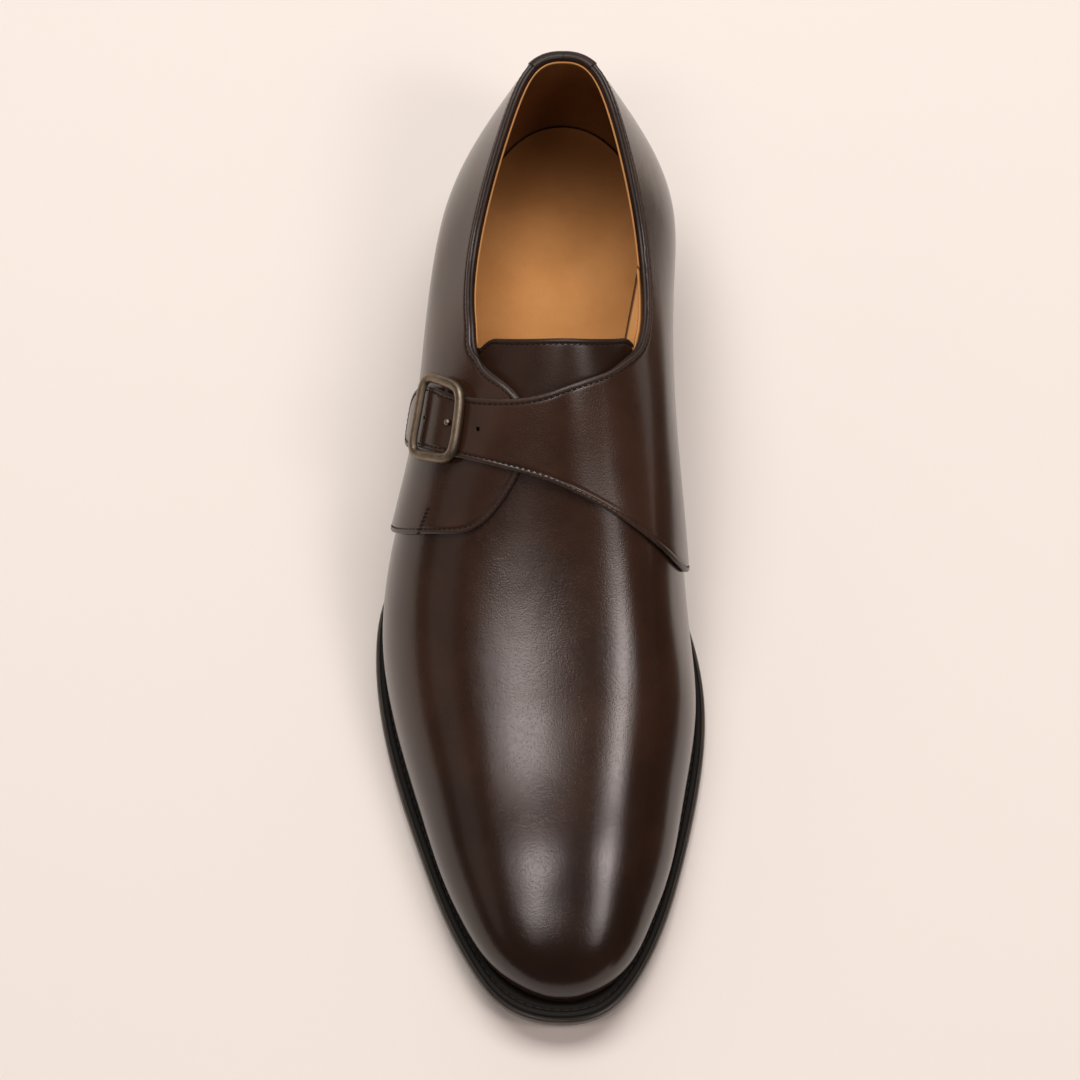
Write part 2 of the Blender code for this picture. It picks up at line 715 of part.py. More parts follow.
def build():
    mats = {
        "vamp": material("upper_leather", (0.050, 0.024, 0.016), 0.30),
        "quarter": material("quarter_leather", (0.048, 0.023, 0.015), 0.32),
        "tongue": material("tongue_leather", (0.046, 0.022, 0.015), 0.38),
        "sock": material("sock_leather", (0.42, 0.20, 0.085), 0.55),
        "welt": material("welt_leather", (0.012, 0.010, 0.008), 0.40),
        "outsole_edge": material("sole_leather", (0.055, 0.038, 0.028), 0.45),
        "heel_stack": material("heel_leather", (0.040, 0.028, 0.021), 0.42),
        "rubber": material("top_piece_rubber", (0.015, 0.014, 0.013), 0.70),
        "metal": material("buckle_metal", (0.30, 0.25, 0.17), 0.35, 1.0),
    }
    build_upper(mats["vamp"])
    build_quarter_out(mats["quarter"])
    build_quarter_in(mats["quarter"])
    build_tongue(mats["tongue"])
    build_tab(mats["quarter"])
    build_bottom(mats)
    build_buckle(mats["metal"])
    build_bar(mats["metal"])
    build_prong(mats["metal"])


clear_scene()
SHOE = bpy.data.collections.new("monk_strap_shoe")
bpy.context.scene.collection.children.link(SHOE)
build()
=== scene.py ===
import math

import bmesh
import bpy
import numpy as np
from mathutils import Matrix, Vector
from mathutils.kdtree import KDTree


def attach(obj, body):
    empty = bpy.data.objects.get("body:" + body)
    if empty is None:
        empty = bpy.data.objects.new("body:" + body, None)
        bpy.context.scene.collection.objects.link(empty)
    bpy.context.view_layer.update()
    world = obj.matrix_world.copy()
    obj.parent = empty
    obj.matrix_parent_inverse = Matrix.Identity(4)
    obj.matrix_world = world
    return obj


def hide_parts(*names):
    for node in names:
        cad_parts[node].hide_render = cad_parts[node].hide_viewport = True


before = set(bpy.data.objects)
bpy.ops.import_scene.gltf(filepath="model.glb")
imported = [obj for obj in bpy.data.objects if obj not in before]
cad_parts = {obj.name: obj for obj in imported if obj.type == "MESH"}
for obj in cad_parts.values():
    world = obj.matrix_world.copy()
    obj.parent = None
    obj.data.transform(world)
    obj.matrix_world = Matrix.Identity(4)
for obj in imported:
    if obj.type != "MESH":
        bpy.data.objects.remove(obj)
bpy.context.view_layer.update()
MM = 0.001

# Sizes that drive the shoe, in metres.
UPPER_LENGTH = 0.2924
TOE_MARGIN = 0.0061
HEEL_MARGIN = 0.0026
BALL_WIDTH = 0.1056
INSTEP_HEIGHT = 0.097
HEEL_HEIGHT = 0.0235
TOE_SPRING = 0.0085
OUTSOLE_THICK = 0.0050
WELT_THICK = 0.0032
WALL = 0.0021
SEAT_TUCK = 0.0018
SEAT_TUCK_HEIGHT = 0.014
BACK_LEAN = 0.0050
BACK_LEAN_START = 0.018
BACK_LEAN_SPAN = 0.042
OVERLAY_THICK = 0.0012
TONGUE_THICK = 0.0016
SOCK_THICK = 0.0017
GAP = 0.0003
OVERLAY_GAP = 0.00055
TONGUE_GAP = 0.0010
LIFT_GAP = 0.0001
TOP_PIECE_THICK = 0.0062
BUCKLE_BAR = 0.0022
BUCKLE_BOW = 0.0006
SOLE_BEVEL = 0.0013
HEEL_STEP = 0.0008
HEEL_TAPER = 0.0017
HEEL_CHAMFER = 0.0008
HEEL_BOW = 0.006
FLOAT_GAP = 0.0009

# Where the shoe lies: the heel to toe line of the last is beside the middle
# of the box, because the ball bulges outward on the little toe side.
AXIS_X = 0.0071
SOLE_LENGTH = TOE_MARGIN + UPPER_LENGTH + HEEL_MARGIN
SOLE_TOE_Y = -SOLE_LENGTH / 2.0
UPPER_TOE_Y = SOLE_TOE_Y + TOE_MARGIN

# Bottom line: forefoot flat between these shares of the sole from the toe,
# heel breast and the end of the rise under the waist.
FLAT_FRONT = 0.312
FLAT_BACK = 0.440
RISE_END = 0.799
BREAST = 0.764

# Sections of the last. along: share of the upper length from the toe.
# Widths are shares of the ball width to the outer (lateral) and inner
# (medial) side of the axis, heights shares of the instep height above the
# feather line. The first and last rows hold how fast the rounded ends open.
# along, feather out, in, belly out, in, high, shoulder out, in, high,
# crest side, crest high
LAST = (
    (0.0000, 0.511, 0.502, 0.521, 0.511, 0.144, 0.379, 0.369, 0.392, 0.000, 0.474),
    (0.0375, 0.202, 0.186, 0.208, 0.192, 0.057, 0.144, 0.133, 0.146, 0.002, 0.175),
    (0.0887, 0.282, 0.249, 0.294, 0.259, 0.067, 0.204, 0.182, 0.196, 0.008, 0.239),
    (0.1569, 0.356, 0.307, 0.369, 0.318, 0.082, 0.256, 0.227, 0.245, 0.015, 0.304),
    (0.2422, 0.438, 0.360, 0.451, 0.369, 0.098, 0.312, 0.265, 0.309, 0.025, 0.379),
    (0.3274, 0.498, 0.388, 0.514, 0.399, 0.119, 0.360, 0.294, 0.371, 0.030, 0.454),
    (0.4059, 0.517, 0.366, 0.540, 0.383, 0.144, 0.374, 0.284, 0.438, 0.032, 0.531),
    (0.4980, 0.438, 0.280, 0.508, 0.356, 0.206, 0.343, 0.265, 0.533, 0.025, 0.636),
    (0.5832, 0.352, 0.237, 0.444, 0.328, 0.247, 0.299, 0.250, 0.574, 0.013, 0.708),
    (0.6855, 0.309, 0.252, 0.403, 0.311, 0.227, 0.282, 0.254, 0.521, 0.004, 0.742),
    (0.7708, 0.307, 0.286, 0.380, 0.320, 0.196, 0.273, 0.252, 0.439, 0.000, 0.742),
    (0.8561, 0.301, 0.295, 0.343, 0.324, 0.175, 0.231, 0.222, 0.466, 0.000, 0.784),
    (0.9345, 0.237, 0.237, 0.256, 0.256, 0.160, 0.165, 0.165, 0.511, 0.000, 0.835),
    (1.0000, 0.540, 0.540, 0.568, 0.568, 0.155, 0.426, 0.426, 0.562, 0.000, 0.861),
)

# Outline of the sole. along: share of the sole length from the toe, widths
# as shares of the ball width; the end rows again hold the rounded ends.
# along, outer half width, inner half width
SOLE = (
    (0.0000, 0.7576, 0.7197),
    (0.0242, 0.1960, 0.1723),
    (0.0561, 0.2670, 0.2377),
    (0.1043, 0.3400, 0.3011),
    (0.1850, 0.4280, 0.3684),
    (0.2667, 0.5028, 0.4157),
    (0.3491, 0.5540, 0.4328),
    (0.4158, 0.5663, 0.4053),
    (0.4719, 0.5398, 0.3561),
    (0.5450, 0.4318, 0.2898),
    (0.6380, 0.3617, 0.2670),
    (0.7376, 0.3428, 0.3049),
    (0.8373, 0.3409, 0.3314),
    (0.9203, 0.2860, 0.2841),
    (1.0000, 0.5966, 0.5966),
)

# Top line of the upper and the throat under the strap. Each row gives how
# far up the side the edge lies: 0 at the feather line, 1 at the crest.
# section, outer side, inner side
TOPLINE = (
    (0.528, 1.000, 1.000),
    (0.545, 0.900, 0.912),
    (0.565, 0.825, 0.845),
    (0.575, 0.775, 0.800),
    (0.585, 0.720, 0.755),
    (0.603, 0.668, 0.694),
    (0.620, 0.658, 0.666),
    (0.638, 0.650, 0.660),
    (0.676, 0.650, 0.667),
    (0.715, 0.658, 0.673),
    (0.753, 0.668, 0.681),
    (0.797, 0.677, 0.686),
    (0.855, 0.680, 0.684),
    (0.920, 0.668, 0.670),
    (1.000, 0.640, 0.640),
)

# Lateral quarter: its top edge paired with its bottom and front edge.
# side runs from -1 at the outer feather over 0 at the crest to 1 inside.
# top section, top side, bottom section, bottom side
QUARTER_OUT = (
    (0.9985, -0.360, 0.9985, -1.000),
    (0.9200, -0.332, 0.9200, -1.000),
    (0.8550, -0.320, 0.8500, -1.000),
    (0.7970, -0.323, 0.7850, -1.000),
    (0.7530, -0.332, 0.7300, -1.000),
    (0.7150, -0.342, 0.6800, -1.000),
    (0.6760, -0.350, 0.6250, -1.000),
    (0.6380, -0.350, 0.5750, -1.000),
    (0.6200, -0.342, 0.5300, -1.000),
    (0.6050, -0.338, 0.5110, -0.790),
    (0.5960, -0.313, 0.4956, -0.575),
    (0.5850, -0.280, 0.4857, -0.385),
    (0.5750, -0.225, 0.4857, -0.265),
    (0.5650, -0.175, 0.5035, -0.190),
    (0.5450, -0.100, 0.5200, -0.150),
)

# Medial quarter running on into the strap, paired the same way.
QUARTER_IN = (
    (0.9985, 0.360, 0.9985, 1.000),
    (0.9200, 0.330, 0.9200, 1.000),
    (0.8550, 0.316, 0.8500, 1.000),
    (0.7970, 0.314, 0.7850, 1.000),
    (0.7530, 0.319, 0.7250, 1.000),
    (0.7150, 0.327, 0.6700, 1.000),
    (0.6760, 0.333, 0.6120, 1.000),
    (0.6380, 0.340, 0.5550, 1.000),
    (0.6200, 0.334, 0.5000, 1.000),
    (0.6030, 0.305, 0.4850, 0.800),
    (0.5887, 0.230, 0.4730, 0.590),
    (0.5788, 0.150, 0.4777, 0.365),
    (0.5709, 0.035, 0.4877, 0.210),
    (0.5649, -0.070, 0.4976, 0.090),
    (0.5630, -0.160, 0.5115, -0.060),
    (0.5649, -0.245, 0.5213, -0.200),
    (0.5689, -0.330, 0.5313, -0.340),
    (0.5760, -0.410, 0.5370, -0.415),
    (0.5868, -0.510, 0.5451, -0.520),
    (0.5893, -0.595, 0.5510, -0.605),
    (0.5855, -0.645, 0.5580, -0.650),
    (0.5775, -0.668, 0.5660, -0.670),
)

# Straps of leather lie over each other, so the strap climbs from the inner
# quarter onto the outer one and then over the bar of the buckle.
STRAP_CLIMB = (0.14, -0.05)
STRAP_ON_BAR = (-0.440, 0.085)
BAR_RISE = 0.0015
STRAP_END_RISE = 0.5

# The buckle in the strap's own way: section and side of its four corners.
# top near, bottom near, bottom far, top far; near is towards the crest
BUCKLE_CORNERS = (
    (0.5749, -0.3355),
    (0.5296, -0.3475),
    (0.5406, -0.5175),
    (0.5924, -0.4975),
)

# Where the prong stands in the strap: section, side.
PRONG_PLACE = (0.5548, -0.384)

# Heel tab: section where it starts and how far down it comes.
TAB_REACH = 0.930
TAB_DEPTH = (0.40, 0.19)

# Tongue: half width, top edge with its rounded corners.
TONGUE_SIDE = 0.360
TONGUE_TOP = (0.5977, 0.142)
TONGUE_CORNER = (0.275, 0.070, 0.0085)

# The toe's stiffener: its middle behind the tip of the last, how far it
# stands out and how fast it fades.
TOE_PUFF = 0.0400
TOE_PUFF_HIGH = 1.05 * MM
TOE_PUFF_FADE = 18.5 * MM

# Seam of the inner lining: section at the top edge and its slant forward.
LINING_SEAM = (0.672, 0.20)

# Shown leather walls: vamp, lining and tab, tongue wing.
VAMP_WALL = 1.0 * MM
THIN_WALL = 0.42 * MM
WING_WALL = 0.7 * MM

# Lining: depth at its cut edge, extra depth further down, and how far it
# stays below the top line under the throat, ahead of a section.
LINING_DEPTH = 1.3 * MM
LINING_SINK = 0.8 * MM
LINING_LOW = (0.022, 0.612)

# Section, side and depth of the tongue wing's free edge at its two ends.
WING_TOP = (0.668, 0.341, 2.2 * MM)
WING_FOOT = (0.598, 0.286, 4.4 * MM)

# The closed back seam under the heel tab, the welt's step and groove, the
# rounding of the lifts, and the strap's holes as section and side.
SEAM_SPREAD = 0.09
WELT_SHOWN = 1.0 * MM
WELT_GROOVE = 2.6 * MM
HEEL_ROUND = 0.28 * MM
STRAP_HOLES = ((0.5471, -0.285), (0.5630, -0.495), PRONG_PLACE)

# Foot of the card as x and y: close at the ball, further off at the waist.
FLAG_LINE = ((0.100, -0.20), (0.100, -0.03), (0.117, 0.06), (0.117, 0.30))
FLAG_HIGH = 0.055


def unit(vectors):
    return vectors / np.linalg.norm(vectors, axis=-1, keepdims=True)


def blend(first, second, share):
    return first * (1.0 - share) + second * share


def smooth(value):
    value = np.clip(value, 0.0, 1.0)
    return value * value * (3.0 - 2.0 * value)


def bending(knots):
    # Matrix that turns values at the knots into second derivatives.
    count = len(knots)
    step = np.diff(knots)
    left = np.zeros((count, count))
    right = np.zeros((count, count))
    left[0, 0] = 1.0
    left[-1, -1] = 1.0
    for i in range(1, count - 1):
        left[i, i - 1] = step[i - 1]
        left[i, i] = 2.0 * (step[i - 1] + step[i])
        left[i, i + 1] = step[i]
        right[i, i - 1] = 6.0 / step[i - 1]
        right[i, i] = -6.0 / step[i - 1] - 6.0 / step[i]
        right[i, i + 1] = 6.0 / step[i]
    return np.linalg.solve(left, right)


def spline(knots, values, where):
    # Smooth curve through the rows of a table.
    knots = np.asarray(knots, float)
    values = np.asarray(values, float)
    bend = bending(knots) @ values
    step = np.diff(knots)
    where = np.asarray(where, float)
    k = np.clip(np.searchsorted(knots, where) - 1, 0, len(knots) - 2)
    a = ((knots[k + 1] - where) / step[k])[..., None]
    b = ((where - knots[k]) / step[k])[..., None]
    h = (step[k] ** 2 / 6.0)[..., None]
    curve = a * values[k] + b * values[k + 1]
    return curve + ((a ** 3 - a) * bend[k] + (b ** 3 - b) * bend[k + 1]) * h


def section_of(along):
    return np.arccos(1.0 - 2.0 * np.clip(along, 0.0, 1.0)) / math.pi


def swell(section):
    return np.sin(math.pi * section)


def front_swell(section):
    return np.sin(math.pi * np.minimum(section, 0.5))


def bottom(y):
    # Height of the underside of the sole: toe spring, flat, waist, heel.
    u = (y - SOLE_TOE_Y) / SOLE_LENGTH
    toe = TOE_SPRING * np.clip(1.0 - u / FLAT_FRONT, 0.0, 1.0) ** 1.75
    k = np.clip((u - FLAT_BACK) / (RISE_END - FLAT_BACK), 0.0, 1.0)
    gentle = k * k * (3.0 - 2.0 * k)
    steep = k ** 3 * (k * (6.0 * k - 15.0) + 10.0)
    return toe + HEEL_HEIGHT * (0.45 * gentle + 0.55 * steep)


def prepare(table, heights):
    # Turn the rows into fullness against the rounded ends.
    rows = np.array(table, float)
    section = section_of(rows[:, 0])
    full = rows[:, 1:].copy()
    for c in range(full.shape[1]):
        if c in heights:
            full[1:, c] *= INSTEP_HEIGHT / front_swell(section[1:])
            full[0, c] *= INSTEP_HEIGHT
        else:
            full[1:-1, c] *= BALL_WIDTH / swell(section[1:-1])
            full[(0, -1), c] *= BALL_WIDTH
    return section, full


HEIGHT_COLUMNS = (4, 7, 9)
LAST_SECTION, LAST_FULL = prepare(LAST, HEIGHT_COLUMNS)
SOLE_SECTION, SOLE_FULL = prepare(SOLE, ())
SIDE_KNOTS = np.array((-1.0, -0.74, -0.37, 0.0, 0.37, 0.74, 1.0))
SIDE_BENDING = bending(SIDE_KNOTS)


def around(values, side):
    # Smooth curve over the seven points of one section.
    bend = values @ SIDE_BENDING.T
    step = np.diff(SIDE_KNOTS)
    k = np.clip(np.searchsorted(SIDE_KNOTS, side) - 1, 0, 5)
    a = (SIDE_KNOTS[k + 1] - side) / step[k]
    b = (side - SIDE_KNOTS[k]) / step[k]
    here = k[..., None]
    low = np.take_along_axis(values, here, -1)[..., 0]
    high = np.take_along_axis(values, here + 1, -1)[..., 0]
    low_bend = np.take_along_axis(bend, here, -1)[..., 0]
    high_bend = np.take_along_axis(bend, here + 1, -1)[..., 0]
    curve = (a ** 3 - a) * low_bend + (b ** 3 - b) * high_bend
    return a * low + b * high + curve * step[k] ** 2 / 6.0


def last_point(section, side):
    # The outside of the plain upper at a section and a place around it.
    section = np.asarray(section, float)
    side = np.asarray(side, float)
    section, side = np.broadcast_arrays(section, side)
    full = spline(LAST_SECTION, LAST_FULL, section)
    width = full * swell(section)[..., None]
    height = full * front_swell(section)[..., None]
    zero = np.zeros(section.shape)
    across = np.stack((
        -width[..., 0], -width[..., 2], -width[..., 5], width[..., 8],
        width[..., 6], width[..., 3], width[..., 1]), -1)
    upward = np.stack((
        zero, height[..., 4], height[..., 7], height[..., 9],
        height[..., 7], height[..., 4], zero), -1)
    x = around(across, side)
    rise = around(upward, side)
    y = UPPER_TOE_Y + UPPER_LENGTH * (1.0 - np.cos(math.pi * section)) / 2.0
    feather = bottom(y) + OUTSOLE_THICK + WELT_THICK + GAP
    back = np.clip((y - UPPER_TOE_Y) / UPPER_LENGTH / 0.18 - 4.555, 0, 1) ** 2
    tuck = SEAT_TUCK * np.clip(1.0 - rise / SEAT_TUCK_HEIGHT, 0.0, 1.0) ** 2
    tall = np.clip((rise - BACK_LEAN_START) / BACK_LEAN_SPAN, 0.0, 2.0)
    lean = BACK_LEAN * tall ** 1.5
    return np.stack((x + AXIS_X, y - back * (tuck + lean), feather + rise), -1)


def last_normal(section, side):
    section, side = np.broadcast_arrays(
        np.asarray(section, float), np.asarray(side, float))
    h = 1.0e-4
    before = np.clip(section - h, 1.0e-5, 1.0)
    after = np.clip(section + h, 0.0, 1.0 - 1.0e-6)
    along = last_point(after, side) - last_point(before, side)
    up = last_point(section, np.clip(side + h, -1.0, 1.0))
    up = up - last_point(section, np.clip(side - h, -1.0, 1.0))
    normal = np.cross(up, along)
    normal[section <= 1.0e-6] = (0.0, -1.0, 0.0)
    normal[section >= 1.0 - 1.0e-6, 0] = 0.0
    return unit(normal)


def lifted(section, side, offset):
    offset = np.asarray(offset, float)
    if offset.ndim:
        offset = offset[..., None]
    point = last_point(section, side) + last_normal(section, side) * offset
    floor = bottom(point[..., 1]) + OUTSOLE_THICK + WELT_THICK + GAP
    point[..., 2] = np.maximum(point[..., 2], floor)
    return point


def strap_height(side):
    # Underside of the strap above the plain upper.
    climb = (STRAP_CLIMB[0] - side) / (STRAP_CLIMB[0] - STRAP_CLIMB[1])
    bump = (side - STRAP_ON_BAR[0]) / STRAP_ON_BAR[1]
    rise = (OVERLAY_THICK + GAP + LIFT_GAP) * smooth(climb)
    hill = np.exp(-bump * bump)
    tail = STRAP_END_RISE + (1.0 - STRAP_END_RISE) * hill
    return OVERLAY_GAP + rise + BAR_RISE * np.where(bump < 0.0, tail, hill)


def sole_edge(section, hand, inset):
    # Outline of the sole, drawn in by the inset.
    def place(s):
        half = spline(SOLE_SECTION, SOLE_FULL, s) * swell(s)[:, None]
        x = AXIS_X + hand * half[:, 0 if hand < 0 else 1]
        y = SOLE_TOE_Y + SOLE_LENGTH * (1.0 - np.cos(math.pi * s)) / 2.0
        return np.stack((x, y), -1)
    return inset_edge(place, section, hand, inset)


def feather_edge(section, hand, inset):
    # Outline of the upper where it meets the welt, drawn in by the inset.
    def place(s):
        return last_point(s, np.full(s.shape, float(hand)))[:, :2]
    return inset_edge(place, section, hand, inset)


def inset_edge(place, section, hand, inset):
    h = 2.0e-4
    ahead = np.clip(section + h, 0.0, 1.0)
    behind = np.clip(section - h, 0.0, 1.0)
    way = place(ahead) - place(behind)
    inward = np.stack((way[:, 1], -way[:, 0]), -1) * -hand
    inward[section <= 0.0] = (0.0, 1.0)
    inward[section >= 1.0] = (0.0, -1.0)
    return place(section) + unit(inward) * inset


def buckle_place(across, down):
    # across 0 near to 1 far from the crest, down 0 top edge to 1 lower edge.
    corner = np.array(BUCKLE_CORNERS)
    near = corner[0] + (corner[1] - corner[0]) * down[..., None]
    far = corner[3] + (corner[2] - corner[3]) * down[..., None]
    spot = near + (far - near) * across[..., None]
    return spot[..., 0], spot[..., 1]


def strap_top(side):
    return strap_height(side) + OVERLAY_THICK


# Shader maths: an expression on wires adds the Math nodes it needs.
class Wire:
    def __init__(self, finish, socket):
        self.finish = finish
        self.socket = socket

    def maths(self, operation, *values):
        return self.finish.add("ShaderNodeMath", {"operation": operation},
                               dict(enumerate(values)))

    def step(self, low, high):
        # Smooth change from 0 to 1 between two values.
        return self.finish.add(
            "ShaderNodeMapRange", {"interpolation_type": "SMOOTHSTEP"},
            {"Value": self, "From Min": low, "From Max": high,
             "To Min": 0.0, "To Max": 1.0}, "Result")


def operator(operation, turned):
    def act(wire, other):
        pair = (other, wire) if turned else (wire, other)
        return wire.maths(operation, *pair)
    return act


for sign, operation in (("add", "ADD"), ("sub", "SUBTRACT"),
                        ("mul", "MULTIPLY"), ("truediv", "DIVIDE"),
                        ("pow", "POWER")):
    setattr(Wire, "__%s__" % sign, operator(operation, False))
    setattr(Wire, "__r%s__" % sign, operator(operation, True))


class Finish:
    # One material, built node by node around a Principled shader.
    def __init__(self, name, **constants):
        self.material = bpy.data.materials.new(name)
        self.material.use_nodes = True
        self.tree = self.material.node_tree
        self.tree.nodes.clear()
        self.shader = self.tree.nodes.new("ShaderNodeBsdfPrincipled")
        out = self.tree.nodes.new("ShaderNodeOutputMaterial")
        self.tree.links.new(self.shader.outputs[0], out.inputs["Surface"])
        for label, value in constants.items():
            self.shader.inputs[label.replace("_", " ")].default_value = value
        self.place = self.add("ShaderNodeTexCoord", {}, {}, "Object")

    def add(self, kind, settings, sockets, output=0):
        node = self.tree.nodes.new(kind)
        for label, value in settings.items():
            setattr(node, label, value)
        for label, value in sockets.items():
            target = node.inputs[label]
            if isinstance(value, Wire):
                self.tree.links.new(value.socket, target)
            else:
                target.default_value = value
        return Wire(self, node.outputs[output])

    def noise(self, scale, detail=2.0, rough=0.5, stretch=None):
        place = self.place
        if stretch:
            place = self.add("ShaderNodeMapping", {},
                             {"Vector": self.place, "Scale": stretch})
        return self.add("ShaderNodeTexNoise", {}, {
            "Vector": place, "Scale": scale, "Detail": detail,
            "Roughness": rough}, "Fac")

    def cells(self, scale, feature="F1"):
        return self.add("ShaderNodeTexVoronoi", {"feature": feature}, {
            "Vector": self.place, "Scale": scale}, "Distance")

    def attribute(self, name):
        return self.add("ShaderNodeAttribute", {"attribute_name": name}, {},
                        "Fac")

    def mix(self, share, first, second):
        # Blend of two colours: 6 and 7 are the colour inputs of a Mix node.
        sockets = {0: share}
        for label, colour in ((6, first), (7, second)):
            plain = not isinstance(colour, Wire)
            sockets[label] = (*colour, 1.0) if plain else colour
        return self.add("ShaderNodeMix", {"data_type": "RGBA"}, sockets, 2)

    def axis(self, label):
        return self.add("ShaderNodeSeparateXYZ", {}, {"Vector": self.place},
                        label)

    def feed(self, label, wire):
        self.tree.links.new(wire.socket, self.shader.inputs[label])
        return self

    def bumps(self, *layers):
        # Each layer is (height wire, depth in metres, strength).
        normal = None
        for height, depth, strength in layers:
            sockets = {"Height": height, "Distance": depth,
                       "Strength": strength}
            if normal is not None:
                sockets["Normal"] = normal
            normal = self.add("ShaderNodeBump", {}, sockets, "Normal")
        return self.feed("Normal", normal)


def polished_calf(name, dark, warm, shine, edge=None, wax=0.22, toe=False):
    # Smooth waxed calf: cloudy brown, faint pores and long soft waves, and
    # on the vamp darker towards the toe.
    leather = Finish(name, Coat_Weight=wax, Coat_Roughness=0.15,
                     Specular_IOR_Level=0.2 + wax)
    cloud = leather.noise(38.0, 3.0, 0.55)
    fleck = leather.noise(420.0, 2.0, 0.6)
    share = cloud.step(0.34, 0.68) * 0.8 + fleck * 0.25
    colour = leather.mix(share, dark, warm)
    if toe:
        # The vamp's colour darkens towards the toe.
        front = (leather.axis("Y") + cloud * 0.03).step(-0.040, -0.115)
        colour = leather.mix(front * 0.55, colour, (0.008, 0.0032, 0.002))
    if edge:
        far = leather.attribute(edge)
        burnish = (1.0 - far.step(0.0, 0.6)) * 0.7
        burnish = burnish + (1.0 - abs_of(far - 1.6).step(0.1, 0.5)) * 0.35
        black = (dark[0] * 0.32, dark[1] * 0.30, dark[2] * 0.30)
        colour = leather.mix(burnish, colour, black)
        worked = 1.0 - far.step(0.3, 2.4)
    leather.feed("Base Color", colour)
    rough = shine + cloud * 0.06 + fleck * 0.05
    if edge:
        rough = rough + worked * 0.16
    leather.feed("Roughness", rough)
    pores = leather.cells(1500.0).step(0.0, 0.55)
    grain = leather.noise(900.0, 3.0, 0.6)
    wave = leather.noise(55.0, 2.0, 0.45, (1.0, 0.55, 1.0))
    leather.bumps((wave, 0.0016, 0.16), (grain, 0.00012, 0.22),
                  (pores, 0.00006, 0.28))
    return leather.material


def tan_leather(name, light, deep, heel_shade, seamed=False):
    # Lining: soft mottled tan with fine pores, darkened by painted shade
    # towards the heel except along its cut edge, and dark in its seam.
    lining = Finish(name, Specular_IOR_Level=0.12)
    cloud = lining.noise(30.0, 4.0, 0.6)
    streak = lining.noise(120.0, 3.0, 0.6, (1.0, 0.25, 1.0))
    share = cloud.step(0.35, 0.7) * 0.7 + streak * 0.35
    colour = lining.mix(share, light, deep)
    # Painted shade: the tan darkens deep in the shoe towards the heel, but not
    # along its cut edge.
    heel = (lining.axis("Y") + cloud * 0.012).step(0.088, 0.140)
    if seamed:
        heel = heel * lining.attribute("inside").step(0.0, 0.014)
    colour = lining.mix(heel * 0.80, colour, heel_shade)
    if seamed:
        seam = 1.0 - abs_of(lining.attribute("seam")).step(0.15, 0.75)
        colour = lining.mix(seam * 0.92, colour, (0.030, 0.011, 0.004))
    lining.feed("Base Color", colour)
    lining.feed("Roughness", 0.55 + cloud * 0.16)
    pores = lining.cells(1100.0).step(0.0, 0.6)
    grain = lining.noise(700.0, 3.0, 0.65)
    lining.bumps((cloud, 0.0012, 0.10), (grain, 0.00016, 0.25),
                 (pores, 0.00010, 0.30))
    return lining.material


def waxed_edge(name, dark, light, shine, wax=0.2):
    # Cut and inked leather edge with its fibres along the edge.
    edge = Finish(name, Coat_Weight=wax, Coat_Roughness=0.22,
                  Specular_IOR_Level=0.12 + wax * 1.3)
    fibre = edge.noise(260.0, 4.0, 0.65, (0.35, 0.35, 3.0))
    blotch = edge.noise(60.0, 2.0, 0.5)
    share = fibre.step(0.35, 0.7) * 0.6 + blotch * 0.4
    edge.feed("Base Color", edge.mix(share, dark, light))
    edge.feed("Roughness", shine + fibre * 0.14)
    edge.bumps((fibre, 0.00022, 0.22), (blotch, 0.0006, 0.10))
    return edge.material


def abs_of(wire):
    return wire.maths("ABSOLUTE", wire)


def black_rubber(name):
    rubber = Finish(name, Specular_IOR_Level=0.35)
    speck = rubber.noise(900.0, 2.0, 0.6)
    scuff = rubber.noise(70.0, 4.0, 0.7)
    rubber.feed("Base Color", rubber.mix(
        speck * 0.4 + scuff * 0.4, (0.012, 0.011, 0.010),
        (0.034, 0.031, 0.028)))
    rubber.feed("Roughness", 0.58 + scuff * 0.25)
    rubber.bumps((speck, 0.0001, 0.3))
    return rubber.material


def old_brass(name):
    # Antique finish: brown where hands don't reach, brighter on the crown.
    metal = Finish(name, Metallic=1.0, Specular_IOR_Level=0.5)
    patina = metal.noise(420.0, 4.0, 0.65)
    brush = metal.noise(900.0, 3.0, 0.6, (1.0, 0.2, 1.0))
    crown = metal.attribute("crown").step(0.25, 0.95)
    colour = metal.mix(patina.step(0.35, 0.7) * 0.7 + 0.15,
                       (0.20, 0.152, 0.107), (0.32, 0.260, 0.194))
    colour = metal.mix((1.0 - crown) * 0.75, colour,
                       (0.085, 0.062, 0.043))
    metal.feed("Base Color", colour)
    metal.feed("Roughness", 0.30 + patina * 0.20 + (1.0 - crown) * 0.12)
    metal.bumps((patina, 0.00010, 0.22), (brush, 0.00005, 0.25))
    return metal.material


def waxed_thread(name, dark, light):
    thread = Finish(name, Specular_IOR_Level=0.2)
    twist = thread.noise(2600.0, 2.0, 0.5)
    thread.feed("Base Color", thread.mix(twist, dark, light))
    thread.feed("Roughness", 0.42 + twist * 0.2)
    thread.bumps((twist, 0.00008, 0.4))
    return thread.material


def pale_paper(name, near, far, glow):
    # The plain pale ground, evened out away from the shoe.
    ground = Finish(name, Specular_IOR_Level=0.15, Emission_Strength=glow)
    cloud = ground.noise(1.3, 2.0, 0.5)
    ground.feed("Base Color", ground.mix(
        cloud, (0.84, 0.764, 0.712), (0.88, 0.808, 0.757)))
    ground.feed("Roughness", 0.86 + cloud * 0.06)
    sideways = ground.axis("X")
    forward = ground.axis("Y")
    away = (sideways * sideways + forward * forward) ** 0.5
    ground.feed("Emission Color", ground.mix(
        away.step(near, far), (0.0, 0.0, 0.0), (0.92, 0.82, 0.745)))
    ground.material.cycles.emission_sampling = "NONE"
    return ground.material


